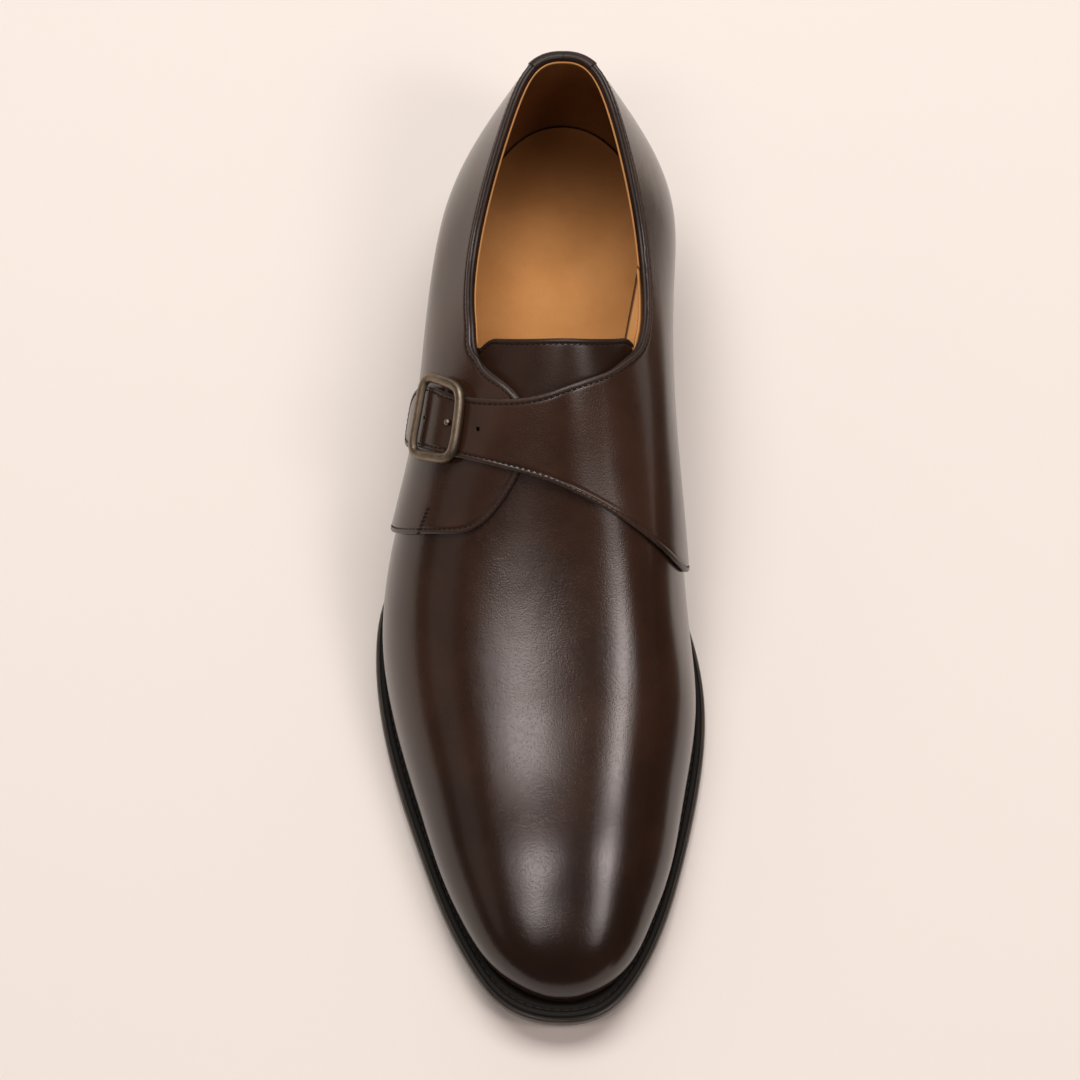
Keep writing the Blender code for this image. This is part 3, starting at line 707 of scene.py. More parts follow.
# Meshes.
def link_mesh(name, mesh):
    thing = bpy.data.objects.new(name, mesh)
    bpy.context.scene.collection.objects.link(thing)
    return thing


def grid_mesh(name, grids, closed=False, fields=None):
    # Join grids of points into one smooth mesh, sewn where they meet.
    # Each grid is (points, wraps across, wraps along).
    points = []
    faces = []
    base = 0
    for grid, across, along in grids:
        rows, columns = grid.shape[:2]
        index = base + np.arange(rows * columns).reshape(rows, columns)
        right = np.roll(index, -1, axis=1)
        ahead = np.roll(index, -1, axis=0)
        both = np.roll(right, -1, axis=0)
        quad = np.stack((index, right, both, ahead), -1)
        quad = quad if along else quad[:-1]
        quad = quad if across else quad[:, :-1]
        points.append(grid.reshape(-1, 3))
        faces.append(quad.reshape(-1, 4))
        base += rows * columns
    mesh = bpy.data.meshes.new(name)
    mesh.from_pydata(np.concatenate(points).tolist(), [],
                     np.concatenate(faces).tolist())
    for label, values in (fields or {}).items():
        layer = mesh.attributes.new(label, "FLOAT", "POINT")
        layer.data.foreach_set("value",
                               np.asarray(values, np.float32).ravel())
    bm = bmesh.new()
    bm.from_mesh(mesh)
    bmesh.ops.remove_doubles(bm, verts=bm.verts, dist=4.0e-6)
    bmesh.ops.dissolve_degenerate(bm, edges=bm.edges, dist=2.0e-6)
    if closed:
        rim = [e for e in bm.edges if e.is_boundary]
        bmesh.ops.holes_fill(bm, edges=rim)
        bmesh.ops.recalc_face_normals(bm, faces=bm.faces)
    bm.to_mesh(mesh)
    bm.free()
    mesh.shade_smooth()
    return link_mesh(name, mesh)


def settle(thing, mat, slot, *nodes):
    # Give a piece its finish and its place on the shoe, and hide the parts it
    # replaces.
    thing.data.materials.clear()
    thing.data.materials.append(mat)
    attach(thing, "root")
    if nodes:
        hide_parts(*nodes)


def plain_mesh(thing):
    # Turn a piece with modifiers into a plain mesh of the same name.
    name = thing.name
    thing.name = name + "_source"
    graph = bpy.context.evaluated_depsgraph_get()
    mesh = bpy.data.meshes.new_from_object(thing.evaluated_get(graph))
    mesh.name = name
    bpy.data.objects.remove(thing, do_unlink=True)
    return link_mesh(name, mesh)


def thicken(thing, wall):
    solid = thing.modifiers.new("wall", "SOLIDIFY")
    solid.thickness = wall
    solid.offset = -1.0
    made = plain_mesh(thing)
    made.data.shade_smooth()
    return made


def length_along(points):
    step = np.linalg.norm(np.diff(points, axis=0), axis=1)
    return np.concatenate(([0.0], np.cumsum(step)))


def resampled(points, spacing):
    run = length_along(points)
    count = max(2, int(run[-1] / spacing) + 2)
    at = np.linspace(0.0, run[-1], count)
    return np.stack([np.interp(at, run, points[:, c]) for c in range(3)], -1)


def nearest(points, lines):
    # Distance from each point to the nearest of some lines of points.
    dense = np.concatenate([resampled(line, 0.2 * MM) for line in lines])
    tree = KDTree(len(dense))
    for i, p in enumerate(dense):
        tree.insert(p, i)
    tree.balance()
    flat = points.reshape(-1, 3)
    far = np.array([tree.find(p)[2] for p in flat])
    return far.reshape(points.shape[:-1])


# How far round the side folded edges and stitches are clear of the welt.
FOLD_END = 0.985
STITCH_END = 0.955

# Shape of a folded leather edge: rolled rim, plump fold, stitch channel.
RIM = 0.60 * MM
CHANNEL = 1.60 * MM
RIM_STEPS = np.array((0.0, 0.04, 0.12, 0.24, 0.40, 0.60, 0.82, 1.06, 1.26,
                      1.44, 1.60, 1.76, 1.94, 2.25, 2.9, 4.0)) * MM


def edge_height(distance, thick, plump=0.10, dip=0.20):
    # How far the top of a folded edge stands above what it lies on.
    near = np.clip(distance, 0.0, RIM)
    round_part = RIM - np.sqrt(RIM ** 2 - (RIM - near) ** 2)
    swollen = plump * MM * np.exp(-((distance - 0.9 * MM) / (0.45 * MM)) ** 2)
    sunk = dip * MM * np.exp(-((distance - CHANNEL) / (0.28 * MM)) ** 2)
    return thick - round_part + swollen - sunk


def paired_places(table, columns):
    # Sections and sides of both edges of a quarter at fine columns.
    table = np.array(table)
    knots = np.arange(len(table), dtype=float)
    fine = 1.0 - np.array((0.0, 0.02, 0.05, 0.09, 0.14, 0.2, 0.27, 0.35))
    where = np.unique(np.concatenate((
        np.linspace(0.0, knots[-1], columns), knots[-1] - 1.0 + fine)))
    edge = spline(knots, table, where)
    edge[:, (1, 3)] = np.clip(edge[:, (1, 3)], -1.0, 1.0)
    return edge


def fine_places(edge, middle):
    # Rows between the paired edges, crowded near both of them.
    share = np.linspace(0.0, 1.0, 61)[None, :]
    section = blend(edge[:, 0:1], edge[:, 2:3], share)
    side = blend(edge[:, 1:2], edge[:, 3:4], share)
    coarse = last_point(section, side)
    rows_section = []
    rows_side = []
    for i in range(len(edge)):
        run = length_along(coarse[i])
        total = run[-1]
        steps = RIM_STEPS * min(1.0, total / (2.4 * RIM_STEPS[-1]))
        inner = np.linspace(steps[-1], total - steps[-1], middle)[1:-1]
        at = np.concatenate((steps, inner, (total - steps)[::-1]))
        rows_section.append(np.interp(at, run, section[i]))
        rows_side.append(np.interp(at, run, side[i]))
    return np.array(rows_section), np.array(rows_side)


def line_at(section, side, depth):
    # A line at a given depth from the edge where the rows begin.
    picked = []
    for row in zip(section, side):
        run = length_along(last_point(*row))
        picked.append([np.interp(depth, run, values) for values in row])
    return np.array(picked).T


def sheet_shell(name, section, side, base, top, fields=None):
    # Closed sheet of leather: fine top, coarser underside, capped ends.
    outer = lifted(section, side, base + top)
    picks = np.unique(np.concatenate((
        np.arange(0, section.shape[1], 4), [section.shape[1] - 1])))[::-1]
    inner = lifted(section[:, picks], side[:, picks],
                   base[:, picks] + 0.02 * MM)
    grid = np.concatenate((outer, inner), axis=1)
    values = None
    if fields is not None:
        values = {"edge": np.concatenate((fields, fields[:, picks]), 1)}
    return grid_mesh(name, [(grid, True, False)], True, values)


# Upper, lining and collar.
def top_heights(section):
    table = np.array(TOPLINE)
    throat = table[0, 0]
    heights = spline(table[:, 0], table[:, 1:], np.maximum(section, throat))
    heights = np.clip(heights, 0.0, 1.0)
    heights[section <= throat] = 1.0
    return heights


def wall_rows(front_count, rear_count):
    throat = TOPLINE[0][0]
    front = np.linspace(0.0, throat, front_count)
    rear = throat + (1.0 - throat) * np.linspace(0, 1, rear_count) ** 1.3
    return np.unique(np.concatenate((front, rear)))


def puff(section):
    # The stiffener in the toe stands out a little under the leather.
    along = UPPER_LENGTH * (1.0 - np.cos(math.pi * section)) / 2.0
    return TOE_PUFF_HIGH * np.exp(-((along - TOE_PUFF) / TOE_PUFF_FADE) ** 2)


def make_vamp(mat):
    section = wall_rows(130, 90)
    heights = top_heights(section)
    share = np.linspace(0.0, 1.0, 49)
    grids = []
    for hand, column in ((-1, 0), (1, 1)):
        side = 1.0 - heights[:, column][:, None] * share[None, :]
        where = np.repeat(section[:, None], len(share), axis=1)
        grid = lifted(where, hand * side, puff(where))
        grids.append((grid if hand < 0 else grid[:, ::-1], False, False))
    settle(thicken(grid_mesh("vamp", grids), VAMP_WALL), mat,
           "vamp_leather", "upper")


def make_lining(mat):
    # The tan lining is thinnest at its cut edge beside the rolled collar.
    section = wall_rows(44, 170)
    heights = top_heights(section)
    share = np.linspace(0.0, 1.0, 45) ** 0.8
    grids = []
    inside = []
    seams = []
    for hand, column in ((-1, 0), (1, 1)):
        ahead = smooth((LINING_LOW[1] - section) / 0.02)
        low = heights[:, column] - LINING_LOW[0] * ahead
        side = 1.0 - low[:, None] * share[None, :]
        where = np.repeat(section[:, None], len(share), axis=1)
        below = (1.0 - share)[None, :] * low[:, None]
        depth = LINING_DEPTH + LINING_SINK * smooth(below / 0.20)
        seam = (where - LINING_SEAM[0] + LINING_SEAM[1] * below) * 450.0
        if hand < 0:
            seam = seam * 0.0 + 50.0
        depth = depth + 0.45 * MM * smooth(0.5 - seam / 2.4)
        grid = lifted(where, hand * side, -depth)
        grids.append((grid if hand < 0 else grid[:, ::-1], False, False))
        inside.append((below if hand < 0 else below[:, ::-1]).ravel())
        seams.append((seam if hand < 0 else seam[:, ::-1]).ravel())
    # inside grows with the depth below the top edge and lets the painted heel
    # shade reach only the deeper lining.
    fields = {"inside": np.concatenate(inside), "seam": np.concatenate(seams)}
    sheet = grid_mesh("lining", grids, False, fields)
    settle(thicken(sheet, THIN_WALL), mat, "sock_leather", "upper")


def make_tongue_wing(mat):
    # Tan wing between the tongue and the inner lining, with a dark edge.
    run = np.linspace(0.0, 1.0, 30)[:, None]
    share = np.linspace(0.0, 1.0, 14)[None, :]
    section = WING_TOP[0] + (WING_FOOT[0] - WING_TOP[0]) * run
    inner = WING_TOP[1] + (WING_FOOT[1] - WING_TOP[1]) * run
    outer = 0.356 + 0.016 * run
    side = inner + (outer - inner) * share
    deep = WING_TOP[2] + (WING_FOOT[2] - WING_TOP[2]) * run
    deep = deep + (1.55 * MM - deep) * share
    section = np.repeat(section, share.shape[1], axis=1)
    points = lifted(section, side, -deep)
    seam = nearest(points, [points[:, 0]]) / MM
    fields = {"inside": np.ones(seam.shape), "seam": seam}
    sheet = grid_mesh("tongue_wing", [(points[:, ::-1], False, False)], False,
                      {key: value[:, ::-1] for key, value in fields.items()})
    settle(thicken(sheet, WING_WALL), mat, "sock_leather")


def collar_places(count):
    # Sections, sides and share of the full roll. It starts under the strap,
    # follows the top line round the heel and runs out in the strap's edge.
    share = np.linspace(0.0, 1.0, count) ** 1.2
    outer = 0.548 + (1.0 - 0.548) * share
    left = top_heights(outer)[:, 0] - 1.0
    edge = paired_places(QUARTER_IN, count)
    keep = (edge[:, 1] > 0.03) & (edge[:, 0] < 0.9985)
    section = np.concatenate((outer, edge[keep, 0]))
    side = np.concatenate((left, edge[keep, 1]))
    full = np.ones(len(section))
    run_out = smooth((side[count:] - 0.05) / 0.22)
    full[count:] = np.where(section[count:] < 0.62, run_out, 1.0)
    return section, side, full


def swept(section, side, profile):
    # Carry a profile of (out, rise) in millimetres along a line.
    centre = last_point(section, side)
    normal = last_normal(section, side)
    way = np.gradient(centre, axis=0)
    rise = unit(np.cross(unit(way), normal))
    middle = len(rise) // 2
    if rise[middle, 2] < 0.0:
        rise = -rise
    ring = []
    for place in profile:
        out, up = np.moveaxis(np.asarray(place, float), -1, 0)
        out = np.broadcast_to(out, (len(centre),))[:, None] * MM
        up = np.broadcast_to(up, (len(centre),))[:, None] * MM
        ring.append(centre + normal * out + rise * up)
    return np.stack(ring, 1)


COLLAR_ROLL = (
    (0.95, -1.95), (1.04, -1.50), (1.08, -1.00), (1.04, -0.50), (0.92, -0.08),
    (0.68, 0.24), (0.36, 0.42), (0.02, 0.46), (-0.30, 0.36), (-0.56, 0.12),
    (-0.73, -0.24), (-0.80, -0.70), (-0.82, -1.20), (-0.74, -1.90),
    (0.10, -2.30),
)


def make_collar(mat):
    section, side, full = collar_places(300)
    small = np.array((OVERLAY_GAP + 0.5 * OVERLAY_THICK, -0.75 * MM)) / MM
    large = np.array((0.12, -0.85))
    step = (strap_height(side) - OVERLAY_GAP) / MM * (side > 0.0)
    rings = []
    for out, up in COLLAR_ROLL:
        shape = np.array((out, up)) - large
        middle = small[None, :] + (large - small)[None, :] * full[:, None]
        place = middle + shape[None, :] * (0.30 + 0.70 * full[:, None])
        place[:, 0] += step * (1.0 - full)
        rings.append(place)
    ring = swept(section, side, rings)
    settle(grid_mesh("collar_roll", [(ring, True, False)], True), mat,
           "quarter_leather")


# Quarters, strap and flap.
def make_quarter(name, table, count, mat, node):
    # A folded panel; the inner one runs on into the punched strap.
    section, side = fine_places(paired_places(table, count), 34)
    surface = last_point(section, side)
    seen = np.abs(side[:, -1]) < FOLD_END
    lines = [surface[:, 0], surface[seen][:, -1]]
    base = np.full(section.shape, OVERLAY_GAP)
    strap = table is QUARTER_IN
    if strap:
        lines.append(surface[-1])
        base = strap_height(side)
    far = nearest(surface, lines)
    shell = sheet_shell(name, section, side, base,
                        edge_height(far, OVERLAY_THICK), far / MM)
    shell = punched(shell) if strap else shell
    settle(shell, mat, "quarter_leather", node)


def round_prism(name, centre, axis, radius, half, sides):
    turn = np.linspace(0.0, 2.0 * math.pi, sides, endpoint=False)
    axis = Vector(axis).normalized()
    across = axis.orthogonal().normalized()
    other = axis.cross(across)
    ring = np.stack([across * math.cos(a) + other * math.sin(a)
                     for a in turn]) * radius
    centre = np.array(centre)
    axis = np.array(axis)
    grid = np.stack((centre + ring - axis * half, centre + ring + axis * half))
    return grid_mesh(name, [(grid, True, False)], True)


def punched(shell):
    # Cut the strap holes right through the sheet.
    for i, (section, side) in enumerate(STRAP_HOLES):
        spot_s = np.array([section])
        spot_t = np.array([side])
        height = strap_top(spot_t) - 0.4 * MM
        centre = lifted(spot_s, spot_t, height)[0]
        axis = last_normal(spot_s, spot_t)[0]
        cutter = round_prism("punch_%d" % i, centre, axis, 0.72 * MM,
                             1.4 * MM, 20)
        cut = shell.modifiers.new("hole", "BOOLEAN")
        cut.operation = "DIFFERENCE"
        cut.solver = "EXACT"
        cut.object = cutter
        shell = plain_mesh(shell)
        bpy.data.objects.remove(cutter, do_unlink=True)
    shell.data.shade_smooth()
    return shell


# Tongue and heel tab.
def tongue_top(side):
    begin, width, drop = TONGUE_CORNER
    corner = np.clip((np.abs(side) - begin) / width, 0.0, 1.0)
    return TONGUE_TOP[0] + TONGUE_TOP[1] * side ** 2 - drop * corner ** 2


def make_tongue(mat):
    side = np.linspace(-TONGUE_SIDE, TONGUE_SIDE, 161)
    top = tongue_top(side)
    inward = RIM_STEPS / (UPPER_LENGTH * math.pi / 2.0)
    rows = np.concatenate((inward, np.linspace(inward[-1], 0.14, 22)[1:]))
    section = top[:, None] - rows[None, :]
    side = np.repeat(side[:, None], len(rows), axis=1)
    surface = last_point(section, side)
    far = nearest(surface, [surface[:, 0]])
    base = np.full(section.shape, -(WALL + TONGUE_GAP + TONGUE_THICK))
    shell = sheet_shell("tongue_sheet", section, side, base,
                        edge_height(far, TONGUE_THICK, 0.16, 0.20), far / MM)
    settle(shell, mat, "tongue_leather", "tongue")


TAB_FOLD = (
    (2.40, -1.60), (2.42, -1.05), (2.33, -0.55), (2.10, -0.08), (1.74, 0.30),
    (1.26, 0.60), (0.70, 0.80), (0.12, 0.84), (-0.40, 0.66), (-0.82, 0.28),
    (-1.04, -0.28), (-1.12, -0.95), (-1.08, -1.60),
)


def make_tab(mat):
    # Leather over the back seam, folded over the collar roll.
    turn = np.linspace(0.0, 1.0, 46)
    reach = 1.0 - turn ** 1.25
    half = TAB_DEPTH[0] + TAB_DEPTH[1] * np.sqrt(1.0 - reach ** 2)
    section = 1.0 - (1.0 - TAB_REACH + 0.009) * reach
    heights = top_heights(section)
    grids = []
    for hand, column in ((-1, 0), (1, 1)):
        limit = 1.0 - heights[:, column]
        share = np.linspace(0.0, 1.0, 40)[None, :]
        side = blend(half[:, None], limit[:, None], share)
        where = np.repeat(section[:, None], 40, axis=1)
        lower = last_point(where, hand * side)
        rim = nearest(lower, [lower[:, 0], lower[0]])
        lift = OVERLAY_GAP + OVERLAY_THICK + edge_height(rim, 0.62 * MM)
        seam = (1.0 - section) * SEAM_SPREAD
        lift = lift - 0.35 * MM * np.exp(-(seam / 0.0006) ** 2)[:, None]
        outer = lifted(where[:, :-3], (hand * side)[:, :-3], lift[:, :-3])
        fold = swept(section, hand * limit, TAB_FOLD)
        grids.append((np.concatenate((outer, fold), axis=1), False, False))
    left, right = grids
    whole = np.concatenate((left[0], right[0][::-1][1:]))
    made = grid_mesh("heel_tab_fold", [(whole, False, False)])
    bm = bmesh.new()
    bm.from_mesh(made.data)
    centre = Vector((AXIS_X, 0.11, 0.05))
    score = sum((f.calc_center_median() - centre).dot(f.normal)
                for f in bm.faces)
    if score < 0.0:
        bmesh.ops.reverse_faces(bm, faces=bm.faces)
    bm.to_mesh(made.data)
    bm.free()
    settle(thicken(made, THIN_WALL), mat, "quarter_leather", "heel_tab")


# Sock, welt, outsole and heel.
def make_sock(mat):
    # Sock leather, dished under the foot and turned up at its rim.
    section = np.linspace(0.0, 1.0, 120)
    share = np.linspace(0.0, 1.0, 36)[None, :, None]
    a = feather_edge(section, -1, WALL + FLOAT_GAP)[:, None, :]
    b = feather_edge(section, 1, WALL + FLOAT_GAP)[:, None, :]
    flat = blend(a, b, share)
    across = 2.0 * share[..., 0] - 1.0
    under = bottom(flat[..., 1]) + OUTSOLE_THICK + GAP
    thick = WELT_THICK + SOCK_THICK
    dish = -0.9 * MM * (1.0 - across ** 4) * swell(section)[:, None] ** 0.5
    high = under + thick + dish + 0.25 * MM
    top = np.concatenate((flat, high[..., None]), -1)
    low = np.concatenate((flat, under[..., None]), -1)
    grid = np.concatenate((top, low[:, ::-1]), axis=1)
    made = grid_mesh("sock", [(grid, True, False)], True)
    made.data.set_sharp_from_angle(angle=math.radians(50.0))
    settle(made, mat, "sock_leather", "insole")


def edge_ring(rules, count):
    rings = []
    for hand in (-1, 1):
        share = np.linspace(0.0, 1.0, count)
        ring = []
        for edge, inset, height in rules:
            flat = edge(share, hand, inset)
            level = bottom(flat[:, 1]) + height
            ring.append(np.concatenate((flat, level[:, None]), -1))
        rings.append(np.stack(ring, 1))
    return [(rings[0], True, False), (rings[1][:, ::-1], True, False)]


def make_welt(mat):
    # Welt with a rounded rim, a stitch groove and a step to the upper.
    base = OUTSOLE_THICK + GAP
    high = OUTSOLE_THICK + WELT_THICK
    step = WELT_SHOWN
    rim = ((0.35 * MM, base), (0.05 * MM, base + 0.35 * MM),
           (0.0, base + 1.2 * MM), (0.08 * MM, high - 0.85 * MM),
           (0.30 * MM, high - 0.32 * MM), (0.70 * MM, high - 0.03 * MM),
           (1.30 * MM, high - 0.04 * MM), (1.95 * MM, high))
    groove = ((-0.30 * MM, high - 0.14 * MM), (0.0, high - 0.34 * MM),
              (0.30 * MM, high - 0.14 * MM), (0.60 * MM, high))
    rules = [(sole_edge, step + inset, height) for inset, height in rim]
    rules += [(sole_edge, step + WELT_GROOVE + inset, height)
              for inset, height in groove]
    rules += [(feather_edge, WALL + GAP, high),
              (feather_edge, WALL + GAP, base)]
    made = grid_mesh("welt_ring", edge_ring(rules, 150), True)
    settle(made, mat, "welt_leather", "welt")


def slab(name, section, columns, rings, bend=0.0):
    # A solid with the outline of the sole, drawn ring by ring from below.
    # rings: inset, height, and 1 where it follows the underside or 0.
    share = np.linspace(0.0, 1.0, columns)[None, :, None]
    fade = np.clip(1.0 - np.arange(len(section)) / 24.0, 0.0, 1.0)
    bow = bend * (1.0 - (2.0 * share[..., 0] - 1.0) ** 2)
    levels = []
    for inset, height, follows in rings:
        a = sole_edge(section, -1, inset)[:, None, :]
        b = sole_edge(section, 1, inset)[:, None, :]
        flat = blend(a, b, share)
        flat[..., 1] += bow * fade[:, None] ** 2
        level = bottom(flat[..., 1]) * follows + height
        levels.append(np.concatenate((flat, level[..., None]), -1))
    loop = [levels[0][:, j] for j in range(columns)]
    loop += [level[:, -1] for level in levels[1:]]
    loop += [levels[-1][:, j] for j in range(columns - 2, -1, -1)]
    loop += [level[:, 0] for level in levels[-2:0:-1]]
    grids = [(np.stack(loop, 1), True, False)]
    if bend:
        grids.append((np.stack([level[0] for level in levels]), False, False))
    return grid_mesh(name, grids, True)


def make_outsole(mat):
    # Outsole with a softly rounded edge.
    flat = SOLE_BEVEL + 0.6 * MM
    rings = [(flat, 0.0, 1.0)]
    for turn in np.linspace(-1.0, 1.0, 11):
        inset = 0.75 * MM * (1.0 - math.sqrt(1.0 - 0.97 * turn * turn))
        rings.append((inset, OUTSOLE_THICK * (0.5 + 0.49 * turn), 1.0))
    rings.append((flat, OUTSOLE_THICK, 1.0))
    made = slab("outsole_edge", np.linspace(0.0, 1.0, 150), 15, rings)
    settle(made, mat, "sole_leather", "outsole")


def heel_inset(height):
    return HEEL_STEP + HEEL_TAPER * (1.0 - height / HEEL_HEIGHT)


def make_heel(stack, rubber):
    # Rubber top piece under three leather lifts with softly rounded edges.
    step = (HEEL_HEIGHT - TOP_PIECE_THICK) / 3.0
    cuts = [0.0] + [TOP_PIECE_THICK + step * i for i in range(4)]
    names = ("top_piece", "heel_lift_1", "heel_lift_2", "heel_lift_3")
    section = np.linspace(section_of(BREAST), 1.0, 76)
    for i, name in enumerate(names):
        low = cuts[i] + (LIFT_GAP if i else 0.0)
        high = cuts[i + 1]
        soft = HEEL_ROUND if i else HEEL_CHAMFER
        under = heel_inset(low)
        over = heel_inset(high)
        top = (high, 0.0) if i < 3 else (-LIFT_GAP, 1.0)
        rings = ((under + soft, low, 0.0),
                 (under + 0.28 * soft, low + 0.28 * soft, 0.0),
                 (under, low + soft, 0.0), (over, high - HEEL_ROUND, 0.0),
                 (over + 0.08 * MM, high - 0.08 * MM, 0.0),
                 (over + HEEL_ROUND, *top))
        made = slab(name + "_smooth", section, 17, rings, HEEL_BOW)
        made.data.set_sharp_from_angle(angle=math.radians(50.0))
        settle(made, stack if i else rubber,
               "heel_leather" if i else "top_piece_rubber", name)


# Buckle.
def buckle_loop(count):
    turn = np.linspace(0.0, 2.0 * math.pi, count, endpoint=False)
    power = 0.42
    ca = np.cos(turn)
    sa = np.sin(turn)
    across = 0.5 - 0.5 * np.sign(ca) * np.abs(ca) ** power
    down = 0.5 - 0.5 * np.sign(sa) * np.abs(sa) ** power
    return across, down, np.abs(ca)


def make_buckle(mat):
    # Cast frame: flat back, crowned face, wider at its two long sides.
    across, down, side_on = buckle_loop(180)
    section, side = buckle_place(across, down)
    near, far = strap_top(np.array((-0.335, -0.510)))
    high = near + (far - near) * across + 2.0 * GAP
    bump = BUCKLE_BOW * side_on ** 2
    centre = lifted(section, side, high + BUCKLE_BAR / 2.0 + bump)
    for _ in range(3):
        centre = (np.roll(centre, 1, 0) + centre * 2.0
                  + np.roll(centre, -1, 0)) / 4.0
    normal = last_normal(section, side)
    way = np.roll(centre, -1, axis=0) - np.roll(centre, 1, axis=0)
    out = unit(np.cross(unit(way), normal))
    profile = ((-1.55, -1.0), (-1.63, -0.60), (-1.58, -0.05), (-1.36, 0.45),
               (-0.95, 0.80), (-0.40, 0.98), (0.18, 1.02), (0.75, 0.90),
               (1.25, 0.58), (1.55, 0.10), (1.63, -0.55), (1.55, -1.0),
               (0.0, -1.05))
    ring = np.stack([centre + out * (a * MM) + normal * (b * MM)
                     for a, b in profile], 1)
    crown = np.array([max(0.0, b) for a, b in profile])
    fields = {"crown": np.repeat(crown[None, :], len(centre), axis=0)}
    made = grid_mesh("buckle_frame_cast", [(ring, True, True)], True, fields)
    settle(made, mat, "buckle_metal", "buckle_frame")


def tube(name, path, radii, sides=14):
    # A round bar whose radius changes along its path, with round ends.
    way = unit(np.gradient(path, axis=0))
    across = unit(np.cross(way, np.array((0.3, 0.2, 1.0))))
    other = np.cross(across, way)
    turn = np.linspace(0.0, 2.0 * math.pi, sides, endpoint=False)
    ring = [path + (across * math.cos(a) + other * math.sin(a))
            * radii[:, None] for a in turn]
    return grid_mesh(name, [(np.stack(ring, 1), True, False)], True,
                     {"crown": np.ones((len(path), sides))})


def make_prong(mat):
    # Ball end of the prong standing in its hole beside the frame.
    spot_s = np.array([PRONG_PLACE[0]])
    spot_t = np.array([PRONG_PLACE[1]])
    foot = lifted(spot_s, spot_t, strap_top(spot_t) - 1.0 * MM)[0]
    axis = last_normal(spot_s, spot_t)[0]
    profile = ((0.0, 0.45), (0.8, 0.45), (1.05, 0.55), (1.25, 0.85),
               (1.50, 1.02), (1.80, 1.08), (2.10, 1.02), (2.35, 0.82),
               (2.52, 0.48), (2.58, 0.12))
    path = np.stack([foot + axis * (h * MM) for h, r in profile])
    radii = np.array([r * MM for h, r in profile])
    made = tube("buckle_prong_ball", path, radii, 20)
    settle(made, mat, "buckle_metal", "buckle_prong")


# Stitches: one tree lays thread along any line of points.
# How far thread stands up, how deep its channel is, and pitch, length and
# width of the stitches.
THREAD_LIFT = 0.06 * MM
CHANNEL_DIP = 0.20 * MM
STITCH = (1.85 * MM, 1.30 * MM, 0.58 * MM)
TACK_STITCH = (1.25 * MM, 1.10 * MM, 0.50 * MM)
WELT_STITCH = (2.90 * MM, 2.50 * MM, 0.62 * MM)


def stitch_tree():
    tree = bpy.data.node_groups.new("stitch_row", "GeometryNodeTree")
    for label, kind in (("Geometry", "Geometry"), ("Pitch", "Float"),
                        ("Stitch Length", "Float"), ("Thread Width", "Float"),
                        ("Thread", "Material")):
        tree.interface.new_socket(label, in_out="INPUT",
                                  socket_type="NodeSocket" + kind)
    tree.interface.new_socket("Geometry", in_out="OUTPUT",
                              socket_type="NodeSocketGeometry")

    def add(kind, sockets, **settings):
        # sockets: what is linked from (node, output), or a plain value.
        node = tree.nodes.new(kind)
        for label, value in settings.items():
            setattr(node, label, value)
        for label, value in sockets.items():
            if isinstance(value, tuple):
                tree.links.new(value[0].outputs[value[1]], node.inputs[label])
            else:
                node.inputs[label].default_value = value
        return node

    given = tree.nodes.new("NodeGroupInput")
    curve = add("GeometryNodeMeshToCurve", {"Mesh": (given, "Geometry")})
    even = add("GeometryNodeResampleCurve",
               {"Curve": (curve, 0), "Length": (given, "Pitch")},
               mode="LENGTH")
    spots = add("GeometryNodeCurveToPoints", {"Curve": (even, 0)},
                mode="EVALUATED")
    ball = add("GeometryNodeMeshUVSphere",
               {"Segments": 8, "Rings": 6, "Radius": 0.5})
    size = add("ShaderNodeCombineXYZ",
               {"X": (given, "Thread Width"), "Y": (given, "Thread Width"),
                "Z": (given, "Stitch Length")})
    turn = add("FunctionNodeAlignRotationToVector",
               {"Vector": (spots, "Tangent")}, axis="Z")
    laid = add("GeometryNodeInstanceOnPoints",
               {"Points": (spots, "Points"), "Instance": (ball, "Mesh"),
                "Rotation": (turn, "Rotation"), "Scale": (size, 0)})
    real = add("GeometryNodeRealizeInstances", {0: (laid, 0)})
    dressed = add("GeometryNodeSetMaterial",
                  {"Geometry": (real, 0), "Material": (given, "Thread")})
    add("NodeGroupOutput", {0: (dressed, 0)})
    return tree


def stitch_row(name, lines, tree, thread, slot, sizes=STITCH):
    # sizes: pitch, stitch length and thread width.
    points = []
    edges = []
    for line in lines:
        fine = resampled(line, 0.4 * MM)
        base = len(points)
        points.extend(fine.tolist())
        edges.extend((base + i, base + i + 1) for i in range(len(fine) - 1))
    mesh = bpy.data.meshes.new(name)
    mesh.from_pydata(points, edges, [])
    thing = link_mesh(name, mesh)
    rows = thing.modifiers.new("stitches", "NODES")
    rows.node_group = tree
    values = dict(zip(("Pitch", "Stitch Length", "Thread Width"), sizes))
    values["Thread"] = thread
    for item in tree.interface.items_tree:
        if item.in_out == "INPUT" and item.name in values:
            rows[item.identifier] = values[item.name]
    made = plain_mesh(thing)
    made.data.shade_smooth()
    settle(made, thread, slot)


def channel_lines(table, count):
    # The stitch channels beside both edges of a quarter, the second one
    # only where it is clear of the welt.
    section, side = fine_places(paired_places(table, count), 10)
    first = line_at(section, side, CHANNEL)
    second = line_at(section[:, ::-1], side[:, ::-1], CHANNEL)
    return section, side, first, second, np.abs(second[1]) < STITCH_END


